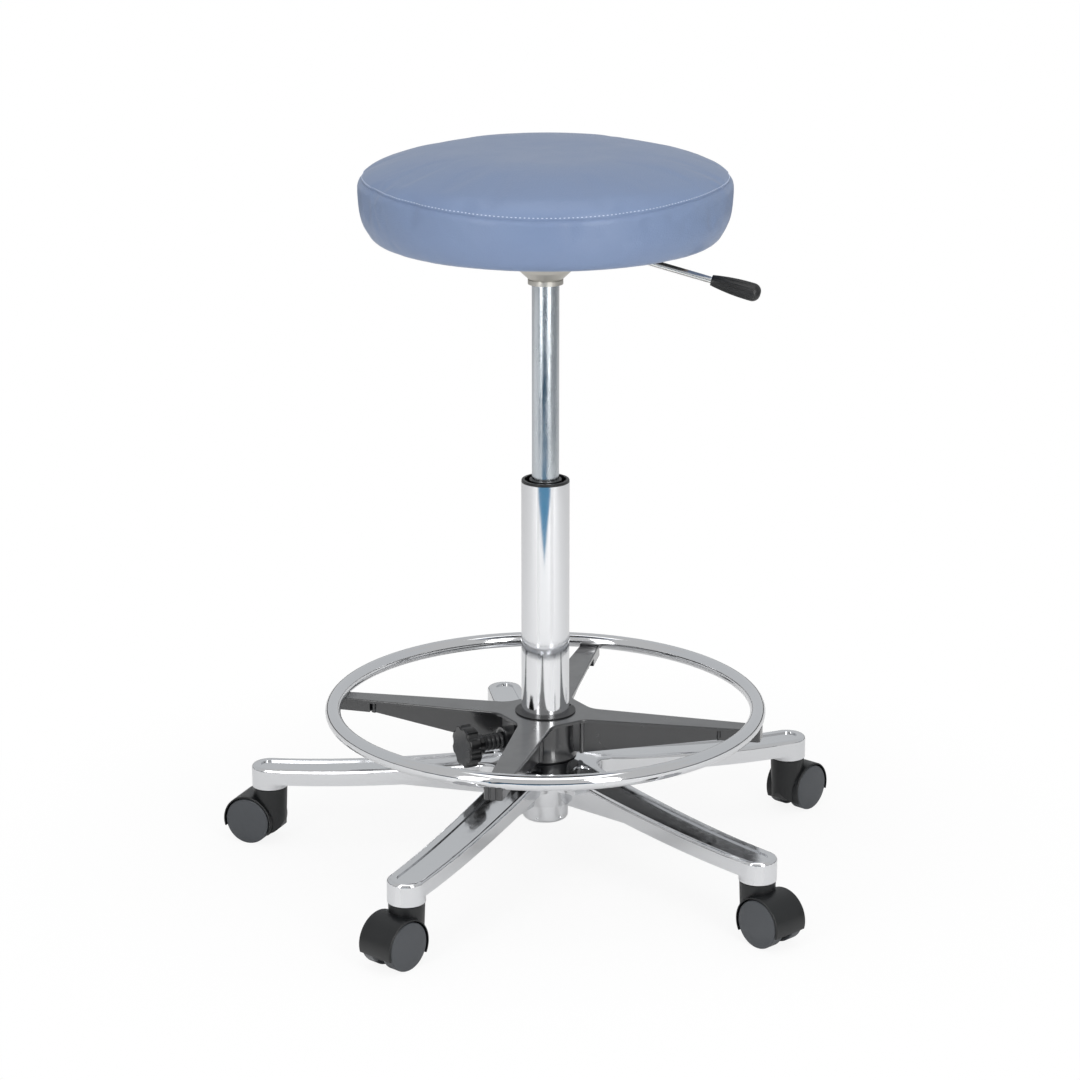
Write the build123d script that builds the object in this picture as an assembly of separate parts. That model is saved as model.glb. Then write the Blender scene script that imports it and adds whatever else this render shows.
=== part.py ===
"""A dentist's stool: round upholstered seat on a gas spring, foot ring, five-arm castor base.

Millimetres. The origin is on the floor under the column's axis, +Z is up, +X is to the
right of someone facing the stool and +Y points away from them.
"""
import math
import os

from build123d import *

# ------------------------------------------------------------------ fits and gaps
SEAT_FIT = 0.02          # radial play of pieces pressed or screwed together
RUNNING_FIT = 0.05       # radial play of a shaft that turns or slides in its hole
FACE_GAP = 0.3           # between faces of pieces that move past each other
CUT_OVERRUN = 1.0        # cutting tools pass this far beyond the faces they open
OVERLAP = 2.0            # merged features of one casting run this far into each other

# ------------------------------------------------------------------ castors
CASTOR_COUNT = 5
WHEEL_RADIUS = 25.0
WHEEL_WIDTH = 14.6
WHEEL_EDGE = 1.6         # rounding of the tread's edge
WHEEL_RIM = 3.2          # radial thickness of the tread ring
WHEEL_DISC = 3.0         # thickness of the closed outer face
WHEEL_DOME = 0.9         # how far the outer face bulges
WHEEL_HUB_RADIUS = 7.0
AXLE_RADIUS = 3.0
AXLE_END_GAP = 1.0
CASTOR_TRAIL = 18.5      # wheel axis behind the stem's axis
CASTOR_WEB = 13.6        # thickness of the housing between the wheels
HOOD_GAP = 1.5           # between the wheel and the hood over it
HOOD_WALL = 1.5
HOOD_INSET = 0.5         # hood's side face inside the wheel's outer face
HOOD_EDGE = 1.2
WHEEL_BORE_GAP = 0.5     # blind end of the wheel's bore to the inside of its closed face
WHEEL_DOME_SLOPE = 0.12  # slope of the outer face at the tread's edge
HOOD_FRONT_RISE = 12.0   # floor to the hood's lower edge at the neck
HOOD_REAR_RISE = 17.5    # floor to the hood's lower edge at the back
NECK_RISE = 36.8         # wheel axis to the top of the neck
NECK_TOP_RADIUS = 18.4
NECK_FOOT_RADIUS = 16.4
NECK_HEEL_RADIUS = 15.0  # rounding of the neck's lower front
NECK_HEEL_REACH = 17.0   # stem's axis to the front of that rounding
STEM_RADIUS = 5.5
STEM_DEPTH_IN_NECK = 32.0
STEM_DEPTH_IN_BASE = 19.0
STEM_GROOVE_DEPTH = 0.8
STEM_GROOVE_WIDTH = 2.0
STEM_GROOVE_RISE = 9.0   # base boss's underside to the middle of the groove
STEM_END_GAP = 0.5       # stem's top to the end of its hole
SWIVEL_GAP = 1.2         # neck to the underside of the base
# direction in which each castor trails, seen from above, in degrees from +X
CASTOR_TRAIL_ANGLES = [115.0, 158.0, 228.5, -46.5, 49.0]

# ------------------------------------------------------------------ base star
STEM_CIRCLE = 299.5      # radius of the circle of castor stems
ARM_START_ANGLE = 99.0   # first arm, in degrees from +X
BOSS_RADIUS = 19.2       # round end of each arm
BOSS_DROP = 6.5          # boss below the arm's side wall
ARM_ROOT_HALF_WIDTH = 24.0
ARM_DEPTH = 17.5         # height of the arm's side wall
ARM_WALL = 3.5
ARM_TOP_WALL = 4.5
ARM_RISE = 29.5          # hub's top above the arm's end
ARM_BEND_RADIUS = 130.0  # where the arm levels out
ARM_BEND_RISE = 13.4     # arm's top there above the arm's end
ARM_HUB_SLOPE = -0.22    # slope of the arm's top beside the hub
ARM_CORNER_RADIUS = 26.0
ARM_EDGE = 3.4           # rounding of the arm's upper edge
CHANNEL_DEPTH = 1.4      # shallow recess along the arm's top
CHANNEL_HALF_WIDTH = 9.5
CHANNEL_ROOT_HALF_WIDTH = 12.0
CHANNEL_START = 58.0
HOLLOW_START = 48.0
HOLLOW_END_GAP = 24.0    # hollow's end to the stem's axis
RIB_THICKNESS = 6.0
RIB_END = 190.0
RIB_END_RISE = 5.0       # rib's underside at its outer end above the arm's end
HUB_RADIUS = 33.0
HUB_FOOT_RISE = 5.0      # hub's underside above the boss's underside

# ------------------------------------------------------------------ column
COLUMN_RADIUS = 25.0
COLUMN_WALL = 1.5
COLUMN_TAPER = 1 / 72    # loss of radius with depth inside the hub
COLUMN_TAIL = 22.0       # column below the hub
COLUMN_STAND = 298.5     # column above the hub
COLUMN_FOOT_EDGE = 4.0
CRIMP_LIP = 4.0
CRIMP_LIP_RADIUS = 19.0
CRIMP_COUNT = 6
CRIMP_TOOL_RADIUS = 3.0
CRIMP_DEPTH = 0.7
PLATE_THICKNESS = 4.0
GUIDE_LENGTH = 88.0
GUIDE_FLANGE_THICKNESS = 2.5
GUIDE_FLANGE_INSET = 0.2  # flange inside the column's outside
GUIDE_EDGE = 1.0
GUIDE_POCKETS = 8
GUIDE_POCKET_DEPTH = 15.0
GUIDE_POCKET_INNER = 16.6
GUIDE_POCKET_OUTER = 21.6
GUIDE_POCKET_SPAN = 32.0  # degrees

# ------------------------------------------------------------------ gas spring
LIFT_TRAVEL = 200.0
ROD_RADIUS = 5.0
SPIGOT_RADIUS = 4.0
SPIGOT_TAIL = 3.6        # spigot below the bottom plate
CLIP_THICKNESS = 1.4
CLIP_RADIUS = 7.5
CLIP_GROOVE_DEPTH = 0.8
CLIP_DROP = 0.3
WASHER_RADIUS = 14.0
WASHER_THICKNESS = 2.0
BALL_RADIUS = 2.0
BALL_COUNT = 12
BALL_CIRCLE = 10.2
BALL_PLAY = 0.05
CAGE_THICKNESS = 1.6
CAGE_INNER_RADIUS = 7.0
CAGE_OUTER_RADIUS = 13.4
BUMP_RADIUS = 13.0
BUMP_HEIGHT = 50.0
BUMP_PLAY = 0.3
STOP_GAP = 3.0
TUBE_RADIUS = 14.0
TUBE_WALL = 1.5
ROD_GUIDE_LENGTH = 22.0
PISTON_LENGTH = 14.0
PISTON_GAP = 2.0
PISTON_END = 3.0
VALVE_LENGTH = 30.0
VALVE_BORE_RADIUS = 3.0
PIN_RISE = 5.2           # release pin above the tube
PIN_EDGE = 1.0

# ------------------------------------------------------------------ seat socket and lever
SOCKET_GAP = 7.5         # socket above the column with the seat at its lowest
SOCKET_ENGAGEMENT = 25.0
SOCKET_COLLAR_RADIUS = 18.0
SOCKET_COLLAR_HEIGHT = 4.5
SOCKET_GROOVE = 1.0
SOCKET_WAIST_RISE = 14.0
SOCKET_WAIST_RADIUS = 27.0
SOCKET_BODY_RISE = 24.0
SOCKET_BODY_RADIUS = 33.0
SOCKET_FLANGE_RADIUS = 75.0
SOCKET_FLANGE_THICKNESS = 4.0
SOCKET_ROOF = 4.0        # flange above the lever's slot
SOCKET_FILLET = 4.0
LEVER_ANGLE = -10.0      # degrees from +X, seen from above
LEVER_RADIUS = 3.5
LEVER_GAP = 0.3          # lever above the release pin
LEVER_PIVOT_REACH = 28.0
LEVER_INNER_REACH = 4.0
LEVER_BEND_REACH = 74.0
LEVER_BEND_RADIUS = 18.0
LEVER_DROOP = 14.4       # degrees
LEVER_TIP_REACH = 218.0
LEVER_EYE_RADIUS = 5.5
LEVER_EYE_LENGTH = 7.0
LEVER_SLOT_SIDE_GAP = 0.7
LEVER_SLOT_DROP = 8.5    # slot below the lever's axis
PIVOT_RADIUS = 2.0
PIVOT_LENGTH = 24.0
HANDLE_LENGTH = 51.0
HANDLE_INNER_RADIUS = 5.4
HANDLE_OUTER_RADIUS = 9.2
HANDLE_NOSE = 8.0
HANDLE_BELLY = 1.2       # how far the handle's side bulges
HANDLE_GRIP_TOOL_RADIUS = 1.2
HANDLE_GRIP_DEPTH = 1.0  # of each groove at the middle
HANDLE_GRIP_COUNT = 14
HANDLE_END_GAP = 3.0     # rod's end to the handle's outer face

# ------------------------------------------------------------------ seat
COVER_THICKNESS = 1.5
BOARD_THICKNESS = 12.0
SEAT_RADIUS = 188.0
SEAT_HEIGHT = 91.0       # underside of the cover to the crown
SEAT_FOOT_RADIUS = 163.5
BOARD_RADIUS = SEAT_FOOT_RADIUS - COVER_THICKNESS
SEAT_HEEL_RADIUS = 180.0 # where the round lower edge meets the side
SEAT_HEEL_RISE = 10.6
SEAT_BELLY_RISE = 48.0   # underside to the widest place
SEAT_SHOULDER_RISE = 75.0
SEAT_SHOULDER_INSET = 25.0
SEAT_FOOT_SLOPE = 0.05   # slope of the cover where it leaves the underside
COVER_MOUTH_RADIUS = 150.0
FOAM_PLAY = 0.1
UNDERLINING_THICKNESS = 0.8
UNDERLINING_GAP = 2.0
STAPLE_COUNT = 36
STAPLE_LENGTH = 10.0
STAPLE_WIDTH = 1.2
STAPLE_PROUD = 0.6
SCREW_CIRCLE = 55.0
SCREW_COUNT = 4
SCREW_RADIUS = 3.0
SCREW_LENGTH = 13.0
SCREW_HEAD_RADIUS = 6.0
SCREW_HEAD_HEIGHT = 4.0
SCREW_HEAD_EDGE = 1.3
SCREW_DRIVE_RADIUS = 2.4
SCREW_DRIVE_DEPTH = 2.0
SCREW_HOLE_PLAY = 0.3
TEE_NUT_RADIUS = 4.2
TEE_NUT_LENGTH = 9.0
TEE_FLANGE_RADIUS = 9.5
TEE_FLANGE_THICKNESS = 1.3

# ------------------------------------------------------------------ foot ring
RING_TRAVEL_GAP = 0.3    # bush above the base hub
BUSH_RADIUS = 27.5
BUSH_FLANGE_RADIUS = 31.5
BUSH_FLANGE_THICKNESS = 1.0
BUSH_COLLAR_RADIUS = 31.7
BUSH_COLLAR_THICKNESS = 1.2
BUSH_SLIT = 3.0
BUSH_FACE_GAP = 0.1
SPIDER_ANGLE = -13.0     # first arm, in degrees from +X
SPIDER_ARMS = 4
SPIDER_HEIGHT = 46.6
SPIDER_HUB_RADIUS = 30.0
SPIDER_FOOT_RADIUS = 33.5
SPIDER_FOOT_RISE = 18.0  # height over which the hub widens to its foot
SPIDER_ROOT_HALF_WIDTH = 20.0    # of an arm's top, at the axis
SPIDER_TIP_HALF_WIDTH = 10.0
SPIDER_DIAMOND = 64.0    # axis to the corners of the widened middle
SPIDER_CORNER_RADIUS = 20.0
SPIDER_TOP_WALL = 3.5
SPIDER_LINK_THICKNESS = 3.0  # thin part of an arm's web beside the hub
SPIDER_WEB_THICKNESS = 8.2
SPIDER_WEB_START = 38.0  # axis to the inner end of the thick web
SPIDER_ROOT_RISE = 4.0   # web's underside at the hub, above the hub's underside
SPIDER_WEB_END_DEPTH = 15.0
SPIDER_BEAD_RADIUS = 2.5     # upright bead at each end of a web
SPIDER_TIP_START = 189.0
SPIDER_TIP_DEPTH = 13.5
SPIDER_TIP_INSET = 0.5
SPIDER_TIP_OVERHANG = 7.0    # tip beyond the ring's centre line
SPIDER_TIP_CORNER = 3.0
SPIDER_EDGE = 1.2
SPIDER_FLUTE_RADIUS = 1.0
SPIDER_FLUTE_SPACING = 7.0
RING_RADIUS = 223.0      # to the middle of the tube
RING_TUBE_RADIUS = 8.0
RING_TUBE_WALL = 1.5
RING_RISE = 4.6          # middle of the ring's tube above the arm's top
RING_SCREW_RADIUS = 2.5
RING_SCREW_HEAD_RADIUS = 4.5
RING_SCREW_HEAD_HEIGHT = 2.5
RING_SCREW_REACH = 3.0   # screw's tip inside the ring's tube

# ------------------------------------------------------------------ clamp of the foot ring
CLAMP_ANGLE = -152.0     # degrees from +X
CLAMP_RISE = 22.6        # screw's axis above the spider's underside
CLAMP_BOSS_RADIUS = 13.5
CLAMP_BOSS_REACH = 52.0
CLAMP_BOSS_ROOT = 2.0    # boss inside the hub's outer wall
CLAMP_BLOCK_REACH = 44.0  # block that joins the boss to the top of the spider
INSERT_RADIUS = 11.2
INSERT_LENGTH = 18.0
STUD_RADIUS = 8.8
STUD_THREAD_DEPTH = 1.3
STUD_THREAD_PITCH = 5.0
STUD_THREAD_LAND = 1.4   # flat crest of the thread
PAD_RADIUS = 8.4
PAD_LENGTH = 3.2
PAD_GAP = 0.35
STUD_GAP = 0.1
KNOB_COLLAR_START = 77.0
KNOB_COLLAR_LENGTH = 8.0
KNOB_COLLAR_RADIUS = 12.0
KNOB_THICKNESS = 14.0
KNOB_RADIUS = 22.5
KNOB_LOBES = 8
KNOB_SCALLOP_RADIUS = 6.5
KNOB_SCALLOP_DEPTH = 2.6
KNOB_EDGE = 2.0

# ------------------------------------------------------------------ heights worked out from the sizes above
NECK_TOP = WHEEL_RADIUS + NECK_RISE
BOSS_BOTTOM = NECK_TOP + SWIVEL_GAP
ARM_END_BOTTOM = BOSS_BOTTOM + BOSS_DROP
ARM_END_TOP = ARM_END_BOTTOM + ARM_DEPTH
HUB_BOTTOM = BOSS_BOTTOM + HUB_FOOT_RISE
HUB_TOP = ARM_END_TOP + ARM_RISE
COLUMN_BOTTOM = HUB_BOTTOM - COLUMN_TAIL
COLUMN_TOP = HUB_TOP + COLUMN_STAND
COLUMN_BORE = COLUMN_RADIUS - COLUMN_WALL
PLATE_BOTTOM = COLUMN_BOTTOM + CRIMP_LIP
PLATE_TOP = PLATE_BOTTOM + PLATE_THICKNESS
BALL_FLOOR = PLATE_TOP + WASHER_THICKNESS
BALL_CENTRE = BALL_FLOOR + BALL_PLAY + BALL_RADIUS
UPPER_WASHER_BOTTOM = BALL_CENTRE + BALL_RADIUS + BALL_PLAY
ROD_SHOULDER = UPPER_WASHER_BOTTOM + WASHER_THICKNESS
BUMP_TOP = ROD_SHOULDER + BUMP_HEIGHT
TUBE_BOTTOM = BUMP_TOP + STOP_GAP + LIFT_TRAVEL
PISTON_BOTTOM = TUBE_BOTTOM + ROD_GUIDE_LENGTH + PISTON_GAP
SOCKET_BOTTOM = COLUMN_TOP + SOCKET_GAP + LIFT_TRAVEL
TUBE_TOP = SOCKET_BOTTOM + SOCKET_ENGAGEMENT
PIN_TOP = TUBE_TOP + PIN_RISE
LEVER_HEIGHT = PIN_TOP + LEVER_GAP + LEVER_RADIUS
SLOT_TOP = LEVER_HEIGHT + LEVER_EYE_RADIUS + LEVER_SLOT_SIDE_GAP
BOARD_BOTTOM = SLOT_TOP + SOCKET_ROOF + SOCKET_FLANGE_THICKNESS
BOARD_TOP = BOARD_BOTTOM + BOARD_THICKNESS
SEAT_BOTTOM = BOARD_BOTTOM - COVER_THICKNESS
BUSH_BOTTOM = HUB_TOP + RING_TRAVEL_GAP
SPIDER_BOTTOM = BUSH_BOTTOM + BUSH_FLANGE_THICKNESS + BUSH_FACE_GAP
SPIDER_TOP = SPIDER_BOTTOM + SPIDER_HEIGHT
RING_HEIGHT = SPIDER_TOP + RING_RISE
SPIDER_REACH = RING_RADIUS + SPIDER_TIP_OVERHANG
CLAMP_HEIGHT = SPIDER_BOTTOM + CLAMP_RISE
PAD_START = BUSH_RADIUS + PAD_GAP
STUD_START = PAD_START + PAD_LENGTH + STUD_GAP
KNOB_START = KNOB_COLLAR_START + KNOB_COLLAR_LENGTH


# ------------------------------------------------------------------ small helpers
def turned(points):
    """A solid of revolution about Z from the corners (radius, height) of its half section."""
    with BuildPart() as made:
        with BuildSketch(Plane.XZ):
            with BuildLine():
                Polyline(*points, close=True)
            make_face()
        revolve(axis=Axis.Z)
    return made.part


def ring_solid(inner, outer, low, high):
    """A plain round tube or washer about Z."""
    return turned([(inner, low), (outer, low), (outer, high), (inner, high)])


def cylinder_up(radius, low, high, x=0.0, y=0.0):
    """A round bar along Z between two heights."""
    bar = Cylinder(radius, high - low, align=(Align.CENTER, Align.CENTER, Align.MIN))
    return Pos(x, y, low) * bar


def around(count, start=0.0):
    """The angles, in degrees, of copies spread evenly round the column."""
    return [start + step * 360.0 / count for step in range(count)]


def radial_bar(radius, start, end, angle, height):
    """A round bar that lies along a horizontal radius of the column."""
    bar = Cylinder(radius, end - start, align=(Align.CENTER, Align.CENTER, Align.MIN))
    return Rot(0, 0, angle) * Pos(start, 0, height) * Rot(0, 90, 0) * bar


def from_axis(edge):
    """The distance of an edge's middle from the Z axis."""
    return math.hypot(edge.center().X, edge.center().Y)


def arm_angles():
    """The direction of each arm of the base."""
    return around(CASTOR_COUNT, ARM_START_ANGLE)


# ------------------------------------------------------------------ base star
def arm_curve(drop):
    """The curve of the arm's top from the hub to the arm's end, lowered by drop."""
    return Spline(
        (HUB_RADIUS, HUB_TOP - drop),
        (ARM_BEND_RADIUS, ARM_END_TOP + ARM_BEND_RISE - drop),
        (STEM_CIRCLE + BOSS_RADIUS, ARM_END_TOP - drop),
        tangents=[(1, ARM_HUB_SLOPE), (1, 0)],
    )


def under_curve(drop, floor):
    """Everything about Z below the arm's top curve lowered by drop, down to floor."""
    end = STEM_CIRCLE + BOSS_RADIUS
    with BuildPart() as made:
        with BuildSketch(Plane.XZ):
            with BuildLine():
                arm_curve(drop)
                Polyline((end, ARM_END_TOP - drop), (end, floor), (0, floor), (0, HUB_TOP - drop),
                         (HUB_RADIUS, HUB_TOP - drop))
            make_face()
        revolve(axis=Axis.Z)
    return made.part


def tapered_strip(start, end, root_half, end_half, round_end=True):
    """A flat strip along +X that narrows outwards, with a round end."""
    strip = make_face(Polyline((start, -root_half), (end, -end_half), (end, end_half),
                               (start, root_half), close=True))
    if round_end:
        strip += Pos(end, 0) * Circle(end_half)
    return strip


def strips_all_round(strip, low, high):
    """The strip stood up between two heights and repeated on every arm."""
    tall = extrude(Pos(0, 0, low) * strip, high - low)
    return [Rot(0, 0, angle) * tall for angle in arm_angles()]


def star_block(low, high):
    """The base's outline stood up between two heights, with rounded corners between its arms."""
    strip = tapered_strip(0, STEM_CIRCLE, ARM_ROOT_HALF_WIDTH, BOSS_RADIUS)
    block = Part() + strips_all_round(strip, low, high)
    upright = block.edges().filter_by(Axis.Z)
    nearest = upright.sort_by(from_axis)
    return fillet(nearest[:CASTOR_COUNT], ARM_CORNER_RADIUS)


def base_star():
    """The cast star: arms with a recessed top, hollow below, hub and castor bosses."""
    floor = BOSS_BOTTOM
    above = HUB_TOP + CUT_OVERRUN
    below = floor - CUT_OVERRUN
    star = star_block(floor, above) & under_curve(0, floor)
    upper_edges = star.edges().filter_by(
        lambda edge: edge.center().Z > ARM_END_TOP - ARM_EDGE
        and math.hypot(edge.center().X, edge.center().Y) > HUB_RADIUS + ARM_EDGE)
    star = fillet(upper_edges, ARM_EDGE)
    star -= under_curve(ARM_DEPTH, below)

    recess = tapered_strip(CHANNEL_START, STEM_CIRCLE, CHANNEL_ROOT_HALF_WIDTH, CHANNEL_HALF_WIDTH)
    recess += Pos(CHANNEL_START, 0) * Circle(CHANNEL_ROOT_HALF_WIDTH)
    below_recess = under_curve(CHANNEL_DEPTH, below)
    for channel in strips_all_round(recess, floor, above):
        star -= channel - below_recess

    hollow_end = STEM_CIRCLE - HOLLOW_END_GAP
    hollow = tapered_strip(HOLLOW_START, hollow_end, ARM_ROOT_HALF_WIDTH - ARM_WALL,
                           BOSS_RADIUS - ARM_WALL, False)
    roof = under_curve(ARM_TOP_WALL, below)
    for pocket in strips_all_round(hollow, below, above):
        star -= pocket & roof

    rib_start = HUB_RADIUS - OVERLAP
    rib_profile = make_face(Polyline(
        (rib_start, HUB_BOTTOM), (RIB_END, ARM_END_BOTTOM + RIB_END_RISE),
        (RIB_END, HUB_TOP), (rib_start, HUB_TOP), close=True))
    rib = extrude(Plane.XZ * rib_profile, RIB_THICKNESS / 2, both=True)
    rib &= under_curve(ARM_TOP_WALL - OVERLAP, below)
    star += [Rot(0, 0, angle) * rib for angle in arm_angles()]
    star += ring_solid(0, HUB_RADIUS, HUB_BOTTOM, HUB_TOP)
    boss = cylinder_up(BOSS_RADIUS, floor, ARM_END_BOTTOM + OVERLAP, STEM_CIRCLE)
    star += [Rot(0, 0, angle) * boss for angle in arm_angles()]

    socket_low = column_radius_at(below) + SEAT_FIT
    socket_high = COLUMN_RADIUS + SEAT_FIT
    star -= turned([(0, below), (socket_low, below), (socket_high, HUB_TOP), (socket_high, above),
                    (0, above)])
    stem_hole = cylinder_up(STEM_RADIUS + SEAT_FIT, below,
                            BOSS_BOTTOM + STEM_DEPTH_IN_BASE + STEM_END_GAP, STEM_CIRCLE)
    star -= [Rot(0, 0, angle) * stem_hole for angle in arm_angles()]
    return star


# ------------------------------------------------------------------ column
def column_radius_at(height):
    """Outside radius of the column, which is tapered from the hub's top down."""
    return COLUMN_RADIUS - max(0.0, HUB_TOP - height) * COLUMN_TAPER


def column_tube():
    """The outer tube, with its tapered foot curled in under the bottom plate."""
    foot = column_radius_at(COLUMN_BOTTOM)
    bore_at_plate = column_radius_at(PLATE_BOTTOM) - COLUMN_WALL
    tube = turned([
        (CRIMP_LIP_RADIUS, COLUMN_BOTTOM), (foot, COLUMN_BOTTOM), (COLUMN_RADIUS, HUB_TOP),
        (COLUMN_RADIUS, COLUMN_TOP), (COLUMN_BORE, COLUMN_TOP), (COLUMN_BORE, HUB_TOP),
        (bore_at_plate, PLATE_BOTTOM), (CRIMP_LIP_RADIUS, PLATE_BOTTOM)])
    foot_edges = tube.edges().filter_by(GeomType.CIRCLE).group_by(Axis.Z)[0]
    tube = fillet(foot_edges.sort_by(SortBy.RADIUS)[-1], COLUMN_FOOT_EDGE)
    crimp_height = PLATE_BOTTOM + PLATE_THICKNESS / 2
    reach = column_radius_at(crimp_height) + CRIMP_TOOL_RADIUS - CRIMP_DEPTH
    for angle in around(CRIMP_COUNT, ARM_START_ANGLE + 180.0 / CRIMP_COUNT):
        tube -= Rot(0, 0, angle) * Pos(reach, 0, crimp_height) * Sphere(CRIMP_TOOL_RADIUS)
    return tube


def column_bottom_plate():
    """The disc that closes the column's foot and carries the thrust bearing."""
    low = column_radius_at(PLATE_BOTTOM) - COLUMN_WALL - SEAT_FIT
    high = column_radius_at(PLATE_TOP) - COLUMN_WALL - SEAT_FIT
    hole = SPIGOT_RADIUS + RUNNING_FIT
    return turned([(hole, PLATE_BOTTOM), (low, PLATE_BOTTOM), (high, PLATE_TOP), (hole, PLATE_TOP)])


def column_guide_bush():
    """The flanged plastic bush in the column's top that guides the pressure tube."""
    bore = TUBE_RADIUS + RUNNING_FIT
    outside = COLUMN_BORE - SEAT_FIT
    flange = COLUMN_RADIUS - GUIDE_FLANGE_INSET
    low, top = COLUMN_TOP - GUIDE_LENGTH, COLUMN_TOP + GUIDE_FLANGE_THICKNESS
    bush = turned([(bore, low), (outside, low), (outside, COLUMN_TOP), (flange, COLUMN_TOP),
                   (flange, top), (bore, top)])
    rim = bush.edges().filter_by_position(Axis.Z, top, top).sort_by(SortBy.LENGTH)[-1]
    bush = fillet(rim, GUIDE_EDGE)
    mid = (GUIDE_POCKET_INNER + GUIDE_POCKET_OUTER) / 2
    width = GUIDE_POCKET_OUTER - GUIDE_POCKET_INNER
    arc = CenterArc((0, 0), mid, -GUIDE_POCKET_SPAN / 2, GUIDE_POCKET_SPAN)
    outline = SlotArc(arc, width)
    pocket = extrude(Pos(0, 0, top - GUIDE_POCKET_DEPTH) * outline, GUIDE_POCKET_DEPTH + CUT_OVERRUN)
    for angle in around(GUIDE_POCKETS):
        bush -= Rot(0, 0, angle) * pocket
    return bush


def lower_bearing_washer():
    """The bearing washer that lies on the bottom plate."""
    return ring_solid(SPIGOT_RADIUS + RUNNING_FIT, WASHER_RADIUS, PLATE_TOP, BALL_FLOOR)


# ------------------------------------------------------------------ gas spring
def piston_rod():
    """The rod, with a thinner spigot through the bearing and a groove for its clip."""
    top = PISTON_BOTTOM + PISTON_LENGTH + PISTON_END
    tail = PLATE_BOTTOM - SPIGOT_TAIL
    clip_top = PLATE_BOTTOM - CLIP_DROP
    groove = SPIGOT_RADIUS - CLIP_GROOVE_DEPTH
    return turned([
        (0, tail), (SPIGOT_RADIUS, tail), (SPIGOT_RADIUS, clip_top - CLIP_THICKNESS),
        (groove, clip_top - CLIP_THICKNESS), (groove, clip_top), (SPIGOT_RADIUS, clip_top),
        (SPIGOT_RADIUS, ROD_SHOULDER), (ROD_RADIUS, ROD_SHOULDER), (ROD_RADIUS, top), (0, top)])


def rod_clip():
    """The open retaining ring that keeps the rod in the bottom plate."""
    top = PLATE_BOTTOM - CLIP_DROP
    clip = ring_solid(SPIGOT_RADIUS - CLIP_GROOVE_DEPTH + SEAT_FIT, CLIP_RADIUS,
                      top - CLIP_THICKNESS, top)
    mouth = Box(CLIP_RADIUS * 2, SPIGOT_RADIUS, CLIP_THICKNESS * 3,
                align=(Align.MIN, Align.CENTER, Align.CENTER))
    return clip - Pos(0, 0, top - CLIP_THICKNESS / 2) * mouth


def piston():
    """The piston on the rod's upper end."""
    return ring_solid(ROD_RADIUS + SEAT_FIT, TUBE_RADIUS - TUBE_WALL - RUNNING_FIT,
                      PISTON_BOTTOM, PISTON_BOTTOM + PISTON_LENGTH)


def upper_bearing_washer():
    """The bearing washer under the rod's shoulder."""
    return ring_solid(SPIGOT_RADIUS + SEAT_FIT, WASHER_RADIUS, UPPER_WASHER_BOTTOM, ROD_SHOULDER)


def ball_places():
    """The places of the bearing balls."""
    return [Rot(0, 0, angle) * Pos(BALL_CIRCLE, 0, BALL_CENTRE) for angle in around(BALL_COUNT)]


def thrust_balls():
    """The balls of the thrust bearing."""
    return [place * Sphere(BALL_RADIUS) for place in ball_places()]


def ball_cage():
    """The cage that spaces the balls."""
    cage = ring_solid(CAGE_INNER_RADIUS, CAGE_OUTER_RADIUS, BALL_CENTRE - CAGE_THICKNESS / 2,
                      BALL_CENTRE + CAGE_THICKNESS / 2)
    for place in ball_places():
        cage -= place * Cylinder(BALL_RADIUS + BALL_PLAY, CAGE_THICKNESS * 2)
    return cage


def bump_stop():
    """The rubber sleeve that ends the downward travel."""
    return ring_solid(ROD_RADIUS + BUMP_PLAY, BUMP_RADIUS, ROD_SHOULDER, BUMP_TOP)


def pressure_tube():
    """The inner tube, which carries the seat."""
    return ring_solid(TUBE_RADIUS - TUBE_WALL, TUBE_RADIUS, TUBE_BOTTOM, TUBE_TOP)


def rod_guide():
    """The guide and seal of the rod in the pressure tube's lower end."""
    return ring_solid(ROD_RADIUS + RUNNING_FIT, TUBE_RADIUS - TUBE_WALL - SEAT_FIT,
                      TUBE_BOTTOM, TUBE_BOTTOM + ROD_GUIDE_LENGTH)


def valve_block():
    """The valve body in the pressure tube's upper end."""
    return ring_solid(VALVE_BORE_RADIUS + RUNNING_FIT, TUBE_RADIUS - TUBE_WALL - SEAT_FIT,
                      TUBE_TOP - VALVE_LENGTH, TUBE_TOP)


def release_pin():
    """The valve's button, pressed down by the lever."""
    low = TUBE_TOP - VALVE_LENGTH
    return turned([(0, low), (VALVE_BORE_RADIUS, low), (VALVE_BORE_RADIUS, PIN_TOP - PIN_EDGE),
                   (VALVE_BORE_RADIUS - PIN_EDGE, PIN_TOP), (0, PIN_TOP)])


# ------------------------------------------------------------------ seat socket and lever
def screw_places():
    """The places of the screws that hold the socket to the board."""
    return [Rot(0, 0, angle) * Pos(SCREW_CIRCLE, 0, 0)
            for angle in around(SCREW_COUNT, LEVER_ANGLE + 180.0 / SCREW_COUNT)]


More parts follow.
